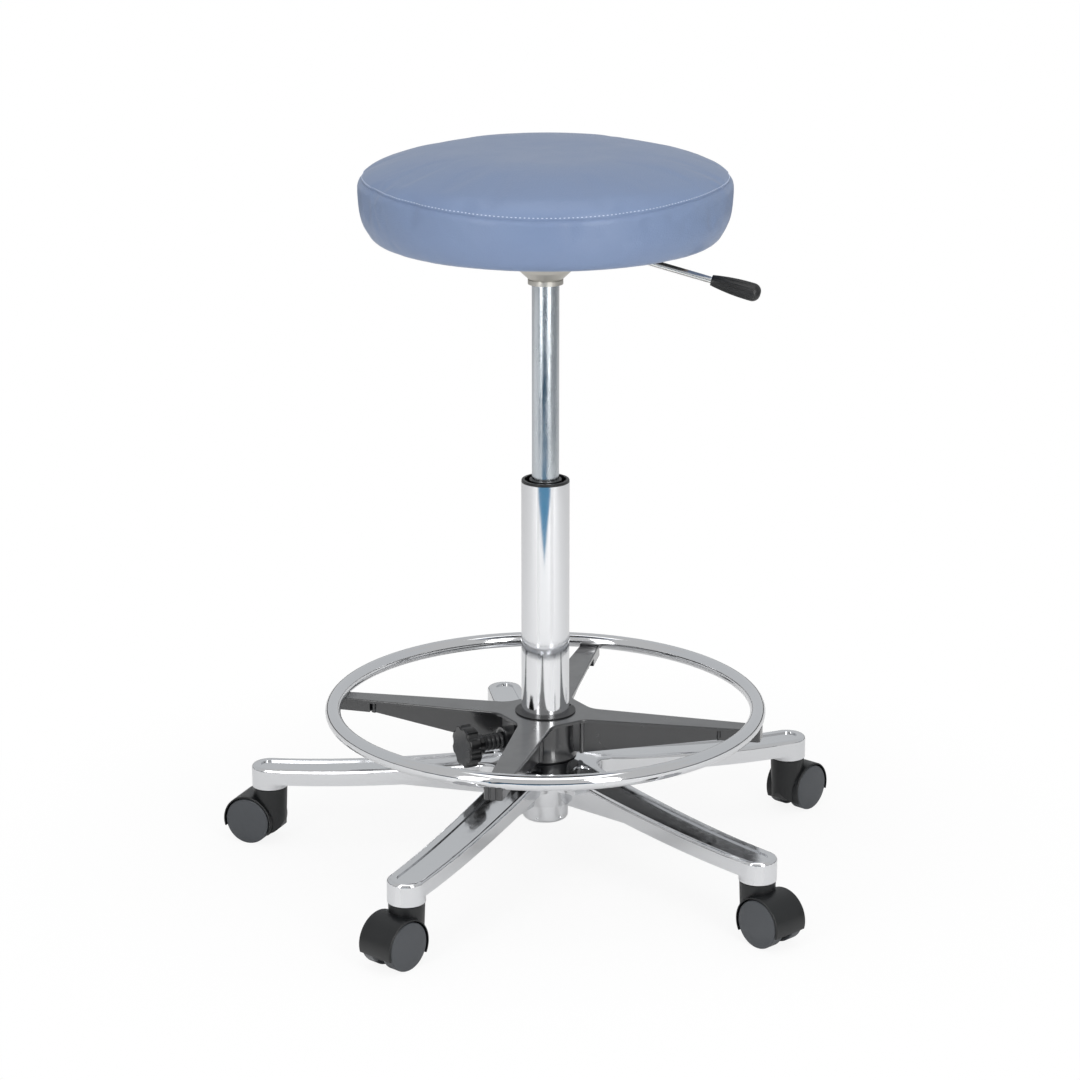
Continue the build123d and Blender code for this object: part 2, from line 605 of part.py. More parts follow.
def seat_socket():
    """The cast cone with its flange, the bore for the tube and the lever's slot."""
    flange_bottom = BOARD_BOTTOM - SOCKET_FLANGE_THICKNESS
    collar_top = SOCKET_BOTTOM + SOCKET_COLLAR_HEIGHT
    groove_top = collar_top + SOCKET_GROOVE
    groove_radius = SOCKET_COLLAR_RADIUS - SOCKET_GROOVE
    body = turned([
        (0, SOCKET_BOTTOM), (SOCKET_COLLAR_RADIUS, SOCKET_BOTTOM), (SOCKET_COLLAR_RADIUS, collar_top),
        (groove_radius, collar_top), (groove_radius, groove_top), (SOCKET_COLLAR_RADIUS, groove_top),
        (SOCKET_WAIST_RADIUS, SOCKET_BOTTOM + SOCKET_WAIST_RISE),
        (SOCKET_BODY_RADIUS, SOCKET_BOTTOM + SOCKET_BODY_RISE), (SOCKET_BODY_RADIUS, flange_bottom),
        (SOCKET_FLANGE_RADIUS, flange_bottom), (SOCKET_FLANGE_RADIUS, BOARD_BOTTOM), (0, BOARD_BOTTOM)])
    rings = body.edges().filter_by(GeomType.CIRCLE).filter_by_position(
        Axis.Z, flange_bottom, flange_bottom)
    body = fillet(rings.sort_by(SortBy.RADIUS)[0], SOCKET_FILLET)
    body -= cylinder_up(TUBE_RADIUS + SEAT_FIT, SOCKET_BOTTOM - CUT_OVERRUN, TUBE_TOP)
    slot_width = LEVER_EYE_LENGTH + 2 * LEVER_SLOT_SIDE_GAP
    slot_bottom = LEVER_HEIGHT - LEVER_SLOT_DROP
    body -= cylinder_up(TUBE_RADIUS - TUBE_WALL, TUBE_TOP - CUT_OVERRUN, SLOT_TOP)
    slot = Box(SOCKET_BODY_RADIUS * 2, slot_width, SLOT_TOP - slot_bottom,
               align=(Align.MIN, Align.CENTER, Align.MIN))
    body -= Rot(0, 0, LEVER_ANGLE) * Pos(0, 0, slot_bottom) * slot
    body -= lever_frame() * pivot_bar(PIVOT_RADIUS + SEAT_FIT, PIVOT_LENGTH)
    for place in screw_places():
        body -= place * cylinder_up(SCREW_RADIUS + SCREW_HOLE_PLAY, flange_bottom - CUT_OVERRUN,
                                    BOARD_BOTTOM + CUT_OVERRUN)
    return body


def socket_screws():
    """The screws that hold the socket to the board."""
    seat = BOARD_BOTTOM - SOCKET_FLANGE_THICKNESS
    end = seat - SCREW_HEAD_HEIGHT
    head = cylinder_up(SCREW_HEAD_RADIUS, end, seat)
    head = fillet(head.edges().group_by(Axis.Z)[0], SCREW_HEAD_EDGE)
    drive = extrude(Pos(0, 0, end) * RegularPolygon(SCREW_DRIVE_RADIUS, 6), SCREW_DRIVE_DEPTH)
    screw = head + cylinder_up(SCREW_RADIUS, seat, seat + SCREW_LENGTH) - drive
    return [place * screw for place in screw_places()]


def tee_nuts():
    """The nuts let into the board's top."""
    foot = BOARD_TOP - TEE_NUT_LENGTH
    nut = cylinder_up(TEE_NUT_RADIUS, foot, BOARD_TOP)
    nut += cylinder_up(TEE_FLANGE_RADIUS, BOARD_TOP - TEE_FLANGE_THICKNESS, BOARD_TOP)
    nut -= cylinder_up(SCREW_RADIUS + SEAT_FIT, foot - CUT_OVERRUN, BOARD_TOP + CUT_OVERRUN)
    return [place * nut for place in screw_places()]


def lever_frame():
    """The lever's own frame: origin over the release pin, +X along the lever."""
    return Rot(0, 0, LEVER_ANGLE) * Pos(0, 0, LEVER_HEIGHT)


def pivot_bar(radius, length):
    """A bar along the lever's pivot, in the lever's frame."""
    return Pos(LEVER_PIVOT_REACH, 0, 0) * Rot(90, 0, 0) * Cylinder(radius, length)


def lever_pivot():
    """The pin on which the lever turns."""
    return lever_frame() * pivot_bar(PIVOT_RADIUS, PIVOT_LENGTH)


def lever_tip():
    """Where the lever's rod ends, in the lever's frame: reach and drop."""
    run = LEVER_TIP_REACH - LEVER_BEND_REACH
    return LEVER_TIP_REACH, -run * math.tan(math.radians(LEVER_DROOP))


def handle_axis():
    """A plane at the handle's outer end, its Z pointing back along the handle."""
    reach, drop = lever_tip()
    slope = math.radians(LEVER_DROOP)
    inwards = (-math.cos(slope), 0, math.sin(slope))
    return Plane(origin=(reach, 0, drop), x_dir=(0, 1, 0), z_dir=inwards)


def lever_rod():
    """The bent rod, with an eye for its pivot."""
    reach, drop = lever_tip()
    inset = HANDLE_END_GAP / (reach - LEVER_BEND_REACH)
    end = (reach - HANDLE_END_GAP, 0, drop * (1 - inset))
    start = (-LEVER_INNER_REACH, 0, 0)
    path = FilletPolyline(start, (LEVER_BEND_REACH, 0, 0), end, radius=LEVER_BEND_RADIUS)
    section = Plane(origin=start, z_dir=(1, 0, 0)) * Circle(LEVER_RADIUS)
    rod = sweep(section, path)
    rod += pivot_bar(LEVER_EYE_RADIUS, LEVER_EYE_LENGTH)
    rod -= pivot_bar(PIVOT_RADIUS + RUNNING_FIT, LEVER_EYE_LENGTH * 2)
    return lever_frame() * rod


def lever_handle():
    """The grooved barrel-shaped handle, wider at its outer end."""
    outer = HANDLE_OUTER_RADIUS
    middle = (outer + HANDLE_INNER_RADIUS) / 2
    belly = (middle + HANDLE_BELLY, (HANDLE_NOSE + HANDLE_LENGTH) / 2)
    with BuildPart() as made:
        with BuildSketch(Plane.XZ):
            with BuildLine():
                nose = Line((0, 0), (outer - HANDLE_NOSE, 0))
                RadiusArc(nose @ 1, (outer, HANDLE_NOSE), -HANDLE_NOSE)
                ThreePointArc((outer, HANDLE_NOSE), belly, (HANDLE_INNER_RADIUS, HANDLE_LENGTH))
                Polyline((HANDLE_INNER_RADIUS, HANDLE_LENGTH), (0, HANDLE_LENGTH), (0, 0))
            make_face()
        revolve(axis=Axis.Z)
    grip = made.part
    lean = math.degrees(math.atan2(outer - HANDLE_INNER_RADIUS, HANDLE_LENGTH - HANDLE_NOSE))
    reach = belly[0] + HANDLE_GRIP_TOOL_RADIUS - HANDLE_GRIP_DEPTH
    groove = Pos(reach, 0, belly[1]) * Rot(0, -lean, 0) * Cylinder(HANDLE_GRIP_TOOL_RADIUS, HANDLE_LENGTH)
    for angle in around(HANDLE_GRIP_COUNT):
        grip -= Rot(0, 0, angle) * groove
    grip -= cylinder_up(LEVER_RADIUS + SEAT_FIT, HANDLE_END_GAP - SEAT_FIT, HANDLE_LENGTH + CUT_OVERRUN)
    return lever_frame() * handle_axis().location * grip


# ------------------------------------------------------------------ seat
def cushion(inset):
    """The crowned cushion as one solid, inset all round from the cover's outside."""
    low = SEAT_BOTTOM + inset
    belly = SEAT_BOTTOM + SEAT_BELLY_RISE
    shoulder = SEAT_BOTTOM + SEAT_SHOULDER_RISE - inset
    top = SEAT_BOTTOM + SEAT_HEIGHT - inset
    foot_radius = SEAT_FOOT_RADIUS - inset / 2
    heel = (SEAT_HEEL_RADIUS - inset, SEAT_BOTTOM + SEAT_HEEL_RISE + inset / 2)
    belly_radius = SEAT_RADIUS - inset
    shoulder_radius = SEAT_RADIUS - SEAT_SHOULDER_INSET - inset
    with BuildPart() as made:
        with BuildSketch(Plane.XZ):
            with BuildLine():
                Spline((foot_radius, low), heel, (belly_radius, belly),
                       tangents=[(1, SEAT_FOOT_SLOPE), (0, 1)])
                Spline((belly_radius, belly), (shoulder_radius, shoulder), (0, top),
                       tangents=[(0, 1), (-1, 0)])
                Polyline((0, top), (0, low), (foot_radius, low))
            make_face()
        revolve(axis=Axis.Z)
    return made.part


def seat_board():
    """The plywood board, with holes for the tee nuts and screws."""
    board = cylinder_up(BOARD_RADIUS, BOARD_BOTTOM, BOARD_TOP)
    above = BOARD_TOP + CUT_OVERRUN
    hole = cylinder_up(TEE_NUT_RADIUS + SEAT_FIT, BOARD_BOTTOM - CUT_OVERRUN, above)
    recess = cylinder_up(TEE_FLANGE_RADIUS + SEAT_FIT, BOARD_TOP - TEE_FLANGE_THICKNESS, above)
    for place in screw_places():
        board -= place * hole
        board -= place * recess
    return board


def seat_foam():
    """The foam, which fills the cover above and round the board."""
    foam = cushion(COVER_THICKNESS + FOAM_PLAY)
    return foam - cylinder_up(BOARD_RADIUS + FOAM_PLAY, SEAT_BOTTOM - CUT_OVERRUN, BOARD_TOP + FOAM_PLAY)


def seat_cover():
    """The leatherette cover, wrapped round the foam and under the board's edge."""
    cover = cushion(0) - cushion(COVER_THICKNESS)
    return cover - cylinder_up(COVER_MOUTH_RADIUS, SEAT_BOTTOM - CUT_OVERRUN, BOARD_BOTTOM + CUT_OVERRUN)


def seat_underlining():
    """The thin black sheet that hides the board from below."""
    return ring_solid(SOCKET_FLANGE_RADIUS + UNDERLINING_GAP, COVER_MOUTH_RADIUS - UNDERLINING_GAP,
                      BOARD_BOTTOM - UNDERLINING_THICKNESS, BOARD_BOTTOM)


def seat_staples():
    """The staples that hold the cover's edge to the board."""
    reach = (COVER_MOUTH_RADIUS + SEAT_FOOT_RADIUS) / 2
    staple = Pos(reach, 0, SEAT_BOTTOM) * Box(STAPLE_WIDTH, STAPLE_LENGTH, STAPLE_PROUD,
                                              align=(Align.CENTER, Align.CENTER, Align.MAX))
    return [Rot(0, 0, angle) * staple for angle in around(STAPLE_COUNT)]


# ------------------------------------------------------------------ foot ring
def spider_angles():
    """The direction of each arm of the spider."""
    return around(SPIDER_ARMS, SPIDER_ANGLE)


def ring_bush():
    """The split nylon bush on which the spider turns, with a flange below and a collar above."""
    bore = COLUMN_RADIUS + RUNNING_FIT
    flange_top = BUSH_BOTTOM + BUSH_FLANGE_THICKNESS
    collar = SPIDER_TOP + BUSH_FACE_GAP
    top = collar + BUSH_COLLAR_THICKNESS
    bush = turned([
        (bore, BUSH_BOTTOM), (BUSH_FLANGE_RADIUS, BUSH_BOTTOM), (BUSH_FLANGE_RADIUS, flange_top),
        (BUSH_RADIUS, flange_top), (BUSH_RADIUS, collar), (BUSH_COLLAR_RADIUS, collar),
        (BUSH_COLLAR_RADIUS, top), (bore, top)])
    slit = Box(BUSH_FLANGE_RADIUS * 2, BUSH_SLIT, SPIDER_HEIGHT * 3,
               align=(Align.MIN, Align.CENTER, Align.CENTER))
    return bush - Rot(0, 0, CLAMP_ANGLE + 180) * Pos(0, 0, BUSH_BOTTOM) * slit


def spider_top():
    """The spider's flat top: four tapered arms with a widened middle."""
    low = SPIDER_TOP - SPIDER_TOP_WALL
    diamond = make_face(Polyline((SPIDER_DIAMOND, 0), (0, SPIDER_DIAMOND), (-SPIDER_DIAMOND, 0),
                                 (0, -SPIDER_DIAMOND), close=True))
    strip = tapered_strip(0, SPIDER_REACH, SPIDER_ROOT_HALF_WIDTH, SPIDER_TIP_HALF_WIDTH, False)
    arm = extrude(Pos(0, 0, low) * strip, SPIDER_TOP_WALL)
    plate = extrude(Pos(0, 0, low) * diamond, SPIDER_TOP_WALL)
    plate += [Rot(0, 0, angle) * arm for angle in around(SPIDER_ARMS)]
    inner = plate.edges().filter_by(Axis.Z).filter_by(lambda edge: from_axis(edge) < SPIDER_DIAMOND)
    plate = fillet(inner, SPIDER_CORNER_RADIUS)
    outer = plate.edges().filter_by(Axis.Z).filter_by(lambda edge: from_axis(edge) > RING_RADIUS)
    plate = fillet(outer, SPIDER_TIP_CORNER)
    plate = fillet(plate.edges().filter_by_position(Axis.Z, SPIDER_TOP, SPIDER_TOP), SPIDER_EDGE)
    return Rot(0, 0, SPIDER_ANGLE) * plate


def spider_arm():
    """The web under one arm's top, beaded at both ends, and the solid tip, along +X."""
    root = SPIDER_BOTTOM + SPIDER_ROOT_RISE
    web_low = SPIDER_TOP - SPIDER_WEB_END_DEPTH
    tip_low = SPIDER_TOP - SPIDER_TIP_DEPTH
    high = SPIDER_TOP - SPIDER_TOP_WALL + OVERLAP
    start, end = SPIDER_HUB_RADIUS - OVERLAP / 2, SPIDER_TIP_START + OVERLAP
    profile = make_face(Polyline((start, root), (SPIDER_WEB_START, root), (SPIDER_TIP_START, web_low),
                                 (end, tip_low), (end, high), (start, high), close=True))
    lined_up = (Align.MIN, Align.CENTER)
    plan = Pos(start, 0) * Rectangle(end - start, SPIDER_LINK_THICKNESS, align=lined_up)
    plan += Pos(SPIDER_WEB_START, 0) * Rectangle(end - SPIDER_WEB_START, SPIDER_WEB_THICKNESS, align=lined_up)
    for place in (SPIDER_WEB_START + SPIDER_BEAD_RADIUS, SPIDER_TIP_START - SPIDER_BEAD_RADIUS):
        for side in (-1, 1):
            plan += Pos(place, side * SPIDER_WEB_THICKNESS / 2) * Circle(SPIDER_BEAD_RADIUS)
    web = extrude(Plane.XZ * profile, SPIDER_DIAMOND, both=True)
    web &= extrude(Pos(0, 0, SPIDER_BOTTOM) * plan, SPIDER_HEIGHT)
    narrowing = (SPIDER_ROOT_HALF_WIDTH - SPIDER_TIP_HALF_WIDTH) / SPIDER_REACH
    tip_half = SPIDER_TIP_HALF_WIDTH - SPIDER_TIP_INSET
    tip = tapered_strip(SPIDER_TIP_START, SPIDER_REACH,
                        tip_half + narrowing * (SPIDER_REACH - SPIDER_TIP_START), tip_half, False)
    tip = fillet(tip.vertices().sort_by(Axis.X)[-2:], SPIDER_TIP_CORNER)
    return web + extrude(Pos(0, 0, tip_low) * tip, high - tip_low)


def spider_hub():
    """The spider's hub, which widens towards its foot, before its bore is cut."""
    waist = (SPIDER_HUB_RADIUS, SPIDER_BOTTOM + SPIDER_FOOT_RISE)
    top = SPIDER_TOP - SPIDER_EDGE
    with BuildPart() as made:
        with BuildSketch(Plane.XZ):
            with BuildLine():
                Polyline((SPIDER_FOOT_RADIUS, SPIDER_BOTTOM), (0, SPIDER_BOTTOM), (0, top),
                         (SPIDER_HUB_RADIUS, top), waist)
                TangentArc(waist, (SPIDER_FOOT_RADIUS, SPIDER_BOTTOM), tangent=(0, -1))
            make_face()
        revolve(axis=Axis.Z)
    return made.part


def spider():
    """The four-arm carrier of the foot ring, with its hub and clamp boss."""
    arm = spider_arm()
    body = spider_top() + [Rot(0, 0, angle) * arm for angle in spider_angles()]
    body += spider_hub()
    boss_start = SPIDER_HUB_RADIUS - CLAMP_BOSS_ROOT
    body += radial_bar(CLAMP_BOSS_RADIUS, boss_start, CLAMP_BOSS_REACH, CLAMP_ANGLE, CLAMP_HEIGHT)
    block = Box(CLAMP_BLOCK_REACH - boss_start, CLAMP_BOSS_RADIUS * 2,
                SPIDER_TOP - SPIDER_EDGE - CLAMP_HEIGHT, align=(Align.MIN, Align.CENTER, Align.MIN))
    body += Rot(0, 0, CLAMP_ANGLE) * Pos(boss_start, 0, CLAMP_HEIGHT) * block
    body -= cylinder_up(BUSH_RADIUS + RUNNING_FIT, SPIDER_BOTTOM - CUT_OVERRUN, SPIDER_TOP + CUT_OVERRUN)
    opened = CLAMP_BOSS_REACH + CUT_OVERRUN
    body -= radial_bar(STUD_RADIUS + RUNNING_FIT, 0, opened, CLAMP_ANGLE, CLAMP_HEIGHT)
    body -= radial_bar(INSERT_RADIUS + SEAT_FIT, CLAMP_BOSS_REACH - INSERT_LENGTH, opened,
                       CLAMP_ANGLE, CLAMP_HEIGHT)
    body -= Pos(0, 0, RING_HEIGHT) * Torus(RING_RADIUS, RING_TUBE_RADIUS + SEAT_FIT)

    flute = cylinder_up(SPIDER_FLUTE_RADIUS, SPIDER_BOTTOM, SPIDER_TOP + SPIDER_HEIGHT)
    for angle in spider_angles():
        for side in (-1, 1):
            body -= Rot(0, 0, angle) * Pos(SPIDER_REACH, side * SPIDER_FLUTE_SPACING / 2, 0) * flute
        body -= Rot(0, 0, angle) * ring_screw_hole()
    return body


def ring_screw_hole():
    """The counterbored hole for one of the foot ring's screws, under an arm along +X."""
    low = SPIDER_TOP - SPIDER_TIP_DEPTH
    start = low - CUT_OVERRUN
    hole = cylinder_up(RING_SCREW_RADIUS + SEAT_FIT, start, RING_HEIGHT, RING_RADIUS)
    head = cylinder_up(RING_SCREW_HEAD_RADIUS + SEAT_FIT, start, low + RING_SCREW_HEAD_HEIGHT, RING_RADIUS)
    return hole + head


def foot_ring():
    """The tube bent to a ring, with a six-sided hole over each screw."""
    with BuildPart() as made:
        with BuildSketch(Plane.XZ):
            with Locations((RING_RADIUS, RING_HEIGHT)):
                Circle(RING_TUBE_RADIUS)
                Circle(RING_TUBE_RADIUS - RING_TUBE_WALL, mode=Mode.SUBTRACT)
        revolve(axis=Axis.Z)
    ring = made.part
    low = RING_HEIGHT - RING_TUBE_RADIUS - CUT_OVERRUN
    hexagon = RegularPolygon(RING_SCREW_RADIUS + SEAT_FIT, 6, major_radius=False)
    hole = extrude(Pos(RING_RADIUS, 0, low) * hexagon, CUT_OVERRUN + 2 * RING_TUBE_WALL)
    for angle in spider_angles():
        ring -= Rot(0, 0, angle) * hole
    return ring


def ring_screws():
    """The screws that hold the ring in the saddles."""
    low = SPIDER_TOP - SPIDER_TIP_DEPTH
    tip = RING_HEIGHT - RING_TUBE_RADIUS + RING_SCREW_REACH
    screw = cylinder_up(RING_SCREW_RADIUS, low, tip, RING_RADIUS)
    screw += cylinder_up(RING_SCREW_HEAD_RADIUS, low, low + RING_SCREW_HEAD_HEIGHT, RING_RADIUS)
    return [Rot(0, 0, angle) * screw for angle in spider_angles()]


# ------------------------------------------------------------------ clamp
def clamp_insert():
    """The threaded insert in the clamp boss."""
    outer = radial_bar(INSERT_RADIUS, CLAMP_BOSS_REACH - INSERT_LENGTH, CLAMP_BOSS_REACH,
                       CLAMP_ANGLE, CLAMP_HEIGHT)
    return outer - radial_bar(STUD_RADIUS + RUNNING_FIT, 0, CLAMP_BOSS_REACH + CUT_OVERRUN,
                              CLAMP_ANGLE, CLAMP_HEIGHT)


def clamp_pad():
    """The pad that the stud presses against the bush."""
    return radial_bar(PAD_RADIUS, PAD_START, PAD_START + PAD_LENGTH, CLAMP_ANGLE, CLAMP_HEIGHT)


def clamp_frame(reach):
    """A place on the clamp's axis, with Z pointing outwards along it."""
    return Rot(0, 0, CLAMP_ANGLE) * Pos(reach, 0, CLAMP_HEIGHT) * Rot(0, 90, 0)


def clamp_stud():
    """The screw, drawn with a ring groove for each turn of its thread."""
    end = KNOB_START + KNOB_THICKNESS / 2 - STUD_START
    root = STUD_RADIUS - STUD_THREAD_DEPTH
    points = [(0, 0), (root, 0)]
    for turn in range(int(end / STUD_THREAD_PITCH)):
        crest = (turn + 0.5) * STUD_THREAD_PITCH
        points += [(STUD_RADIUS, crest - STUD_THREAD_LAND / 2), (STUD_RADIUS, crest + STUD_THREAD_LAND / 2),
                   (root, crest + STUD_THREAD_PITCH / 2)]
    points += [(root, end), (0, end)]
    return clamp_frame(STUD_START) * turned(points)


def clamp_knob():
    """The lobed knob with its collar."""
    body = Cylinder(KNOB_RADIUS, KNOB_THICKNESS, align=(Align.CENTER, Align.CENTER, Align.MIN))
    reach = KNOB_RADIUS + KNOB_SCALLOP_RADIUS - KNOB_SCALLOP_DEPTH
    scallop = Cylinder(KNOB_SCALLOP_RADIUS, KNOB_THICKNESS * 3)
    for angle in around(KNOB_LOBES):
        body -= Rot(0, 0, angle) * Pos(reach, 0, 0) * scallop
    body = fillet(body.faces().filter_by(Axis.Z).edges(), KNOB_EDGE)
    body = Pos(0, 0, KNOB_COLLAR_LENGTH) * body
    body += cylinder_up(KNOB_COLLAR_RADIUS, 0, KNOB_COLLAR_LENGTH + OVERLAP)
    body -= cylinder_up(STUD_RADIUS + SEAT_FIT, 0, KNOB_COLLAR_LENGTH + KNOB_THICKNESS / 2)
    return clamp_frame(KNOB_COLLAR_START) * body


# ------------------------------------------------------------------ castors
def wheel_axis_bar(radius, low, high):
    """A round bar along a castor's wheel axis between two distances from its middle."""
    bar = Cylinder(radius, high - low, align=(Align.CENTER, Align.CENTER, Align.MIN))
    return Pos(CASTOR_TRAIL, low, WHEEL_RADIUS) * Rot(-90, 0, 0) * bar


def castor_housing():
    """The hood with its neck and the web between the wheels; stem at the origin, trail along +X."""
    half_hood = CASTOR_WEB / 2 + FACE_GAP + WHEEL_WIDTH - HOOD_INSET
    hood_inner = WHEEL_RADIUS + HOOD_GAP
    hood_outer = hood_inner + HOOD_WALL
    hood = wheel_axis_bar(hood_outer, -half_hood, half_hood)
    hood = fillet(hood.edges(), HOOD_EDGE)
    neck = turned([(0, HOOD_FRONT_RISE), (NECK_FOOT_RADIUS, HOOD_FRONT_RISE), (NECK_TOP_RADIUS, NECK_TOP),
                   (0, NECK_TOP)])
    housing = hood + neck
    half_web = CASTOR_WEB / 2
    housing -= wheel_axis_bar(hood_inner, half_web, half_hood * 2)
    housing -= wheel_axis_bar(hood_inner, -half_hood * 2, -half_web)
    front = -NECK_TOP_RADIUS - CUT_OVERRUN
    rear = CASTOR_TRAIL + hood_outer + CUT_OVERRUN
    lowest = WHEEL_RADIUS - hood_outer - CUT_OVERRUN
    heel_low = (NECK_HEEL_RADIUS - NECK_HEEL_REACH, HOOD_FRONT_RISE)
    heel_front = (-NECK_HEEL_REACH, HOOD_FRONT_RISE + NECK_HEEL_RADIUS)
    with BuildPart() as under:
        with BuildSketch(Plane.XZ):
            with BuildLine():
                Polyline((front, heel_front[1]), (front, lowest), (rear, lowest), (rear, HOOD_REAR_RISE),
                         (0, HOOD_FRONT_RISE), heel_low)
                RadiusArc(heel_low, heel_front, NECK_HEEL_RADIUS)
                Line(heel_front, (front, heel_front[1]))
            make_face()
        extrude(amount=half_hood * 2, both=True)
    housing -= under.part
    housing -= wheel_axis_bar(AXLE_RADIUS + SEAT_FIT, -half_web - CUT_OVERRUN, half_web + CUT_OVERRUN)
    housing -= cylinder_up(STEM_RADIUS + RUNNING_FIT, NECK_TOP - STEM_DEPTH_IN_NECK, NECK_TOP + CUT_OVERRUN)
    return housing


def castor_wheel(side):
    """One wheel, closed outside and hollow inside; side is 1 or -1."""
    inner_face = CASTOR_WEB / 2 + FACE_GAP
    outer_face = inner_face + WHEEL_WIDTH
    disc_inside = outer_face - WHEEL_DISC
    bore = AXLE_RADIUS + RUNNING_FIT
    bore_end = disc_inside + WHEEL_BORE_GAP
    rim_inside = WHEEL_RADIUS - WHEEL_RIM
    inner_edge = WHEEL_EDGE / 2
    tread_end = (WHEEL_RADIUS, outer_face - WHEEL_DOME - WHEEL_EDGE)
    face_start = (WHEEL_RADIUS - WHEEL_EDGE, outer_face - WHEEL_DOME)
    with BuildPart() as made:
        with BuildSketch(Plane.XZ):
            with BuildLine():
                Polyline((rim_inside, disc_inside), (rim_inside, inner_face),
                         (WHEEL_RADIUS - inner_edge, inner_face),
                         (WHEEL_RADIUS, inner_face + inner_edge), tread_end)
                RadiusArc(tread_end, face_start, -WHEEL_EDGE)
                Spline(face_start, (0, outer_face), tangents=[(-1, WHEEL_DOME_SLOPE), (-1, 0)])
                Polyline((0, outer_face), (0, bore_end), (bore, bore_end), (bore, inner_face),
                         (WHEEL_HUB_RADIUS, inner_face), (WHEEL_HUB_RADIUS, disc_inside),
                         (rim_inside, disc_inside))
            make_face()
        revolve(axis=Axis.Z)
    wheel = Pos(CASTOR_TRAIL, 0, WHEEL_RADIUS) * Rot(-90, 0, 0) * made.part
    return wheel if side > 0 else mirror(wheel, about=Plane.XZ)


def castor_axle():
    """The axle, pressed into the housing's web."""
    outer_face = CASTOR_WEB / 2 + FACE_GAP + WHEEL_WIDTH
    half = outer_face - WHEEL_DISC - AXLE_END_GAP
    return wheel_axis_bar(AXLE_RADIUS, -half, half)


def castor_stem():
    """One stem about Z, with the groove for its grip ring."""
    low = NECK_TOP - STEM_DEPTH_IN_NECK + FACE_GAP
    high = BOSS_BOTTOM + STEM_DEPTH_IN_BASE
    groove_low = BOSS_BOTTOM + STEM_GROOVE_RISE - STEM_GROOVE_WIDTH / 2
    groove_high = groove_low + STEM_GROOVE_WIDTH
    waist = STEM_RADIUS - STEM_GROOVE_DEPTH
    return turned([(0, low), (STEM_RADIUS, low), (STEM_RADIUS, groove_low), (waist, groove_low),
                   (waist, groove_high), (STEM_RADIUS, groove_high), (STEM_RADIUS, high), (0, high)])


def stem_grip_ring():
    """The spring ring in the stem's groove."""
    low = BOSS_BOTTOM + STEM_GROOVE_RISE - STEM_GROOVE_WIDTH / 2 + SEAT_FIT
    return ring_solid(STEM_RADIUS - STEM_GROOVE_DEPTH + SEAT_FIT, STEM_RADIUS, low,
                      low + STEM_GROOVE_WIDTH - 2 * SEAT_FIT)


def stem_places():
    """The foot of each castor's stem axis on the floor."""
    return [Rot(0, 0, angle) * Pos(STEM_CIRCLE, 0, 0) for angle in arm_angles()]


def castor_places():
    """Each castor's own frame: on its stem's axis, turned to its rest direction."""
    places = []
    for place, trail in zip(stem_places(), CASTOR_TRAIL_ANGLES):
        places.append(Pos(*place.position) * Rot(0, 0, trail))
    return places


# ------------------------------------------------------------------ the stool
def write(name, shape):
    """Writes one named piece, or one group of identical pieces, as a STEP file."""
    whole = Compound(children=shape) if isinstance(shape, list) else shape
    whole.label = name
    export_step(whole, os.path.join("parts", name + ".step"))


def main():
    """Makes every piece of the stool and writes it to its own file."""
    os.makedirs("parts", exist_ok=True)
    write("base_star", base_star())
    write("column_tube", column_tube())
    write("column_bottom_plate", column_bottom_plate())
    write("column_guide_bush", column_guide_bush())
    write("lower_bearing_washer", lower_bearing_washer())
    write("castor_stems", [place * castor_stem() for place in stem_places()])
    write("stem_grip_rings", [place * stem_grip_ring() for place in stem_places()])

    write("piston_rod", piston_rod())
    write("rod_clip", rod_clip())
    write("piston", piston())
    write("upper_bearing_washer", upper_bearing_washer())
    write("thrust_balls", thrust_balls())
    write("ball_cage", ball_cage())
    write("bump_stop", bump_stop())

    write("pressure_tube", pressure_tube())
    write("rod_guide", rod_guide())
    write("valve_block", valve_block())
    write("release_pin", release_pin())
    write("seat_socket", seat_socket())
    write("socket_screws", socket_screws())
    write("tee_nuts", tee_nuts())
    write("lever_pivot", lever_pivot())
    write("lever_rod", lever_rod())
    write("lever_handle", lever_handle())
    write("seat_board", seat_board())
    write("seat_foam", seat_foam())
    write("seat_cover", seat_cover())
    write("seat_underlining", seat_underlining())
    write("seat_staples", seat_staples())

    write("ring_bush", ring_bush())
    write("spider", spider())
    write("foot_ring", foot_ring())
    write("ring_screws", ring_screws())
    write("clamp_insert", clamp_insert())
    write("clamp_pad", clamp_pad())
    write("clamp_stud", clamp_stud())
    write("clamp_knob", clamp_knob())

    housing = castor_housing()
    axle = castor_axle()
    wheels = {"left": castor_wheel(1), "right": castor_wheel(-1)}
    for number, place in enumerate(castor_places(), start=1):
        write(f"castor_{number}_housing", place * housing)
        write(f"castor_{number}_axle", place * axle)
        for side, wheel in wheels.items():
            write(f"castor_{number}_wheel_{side}", place * wheel)


main()
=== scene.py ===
"""The dentist's stool in its real finishes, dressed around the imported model. Metres, +Z up."""
import logging
import math
from abc import ABC, abstractmethod
from dataclasses import dataclass, field
from enum import Enum

import bmesh
import bpy
from mathutils import Matrix, Vector, noise
from mathutils.bvhtree import BVHTree


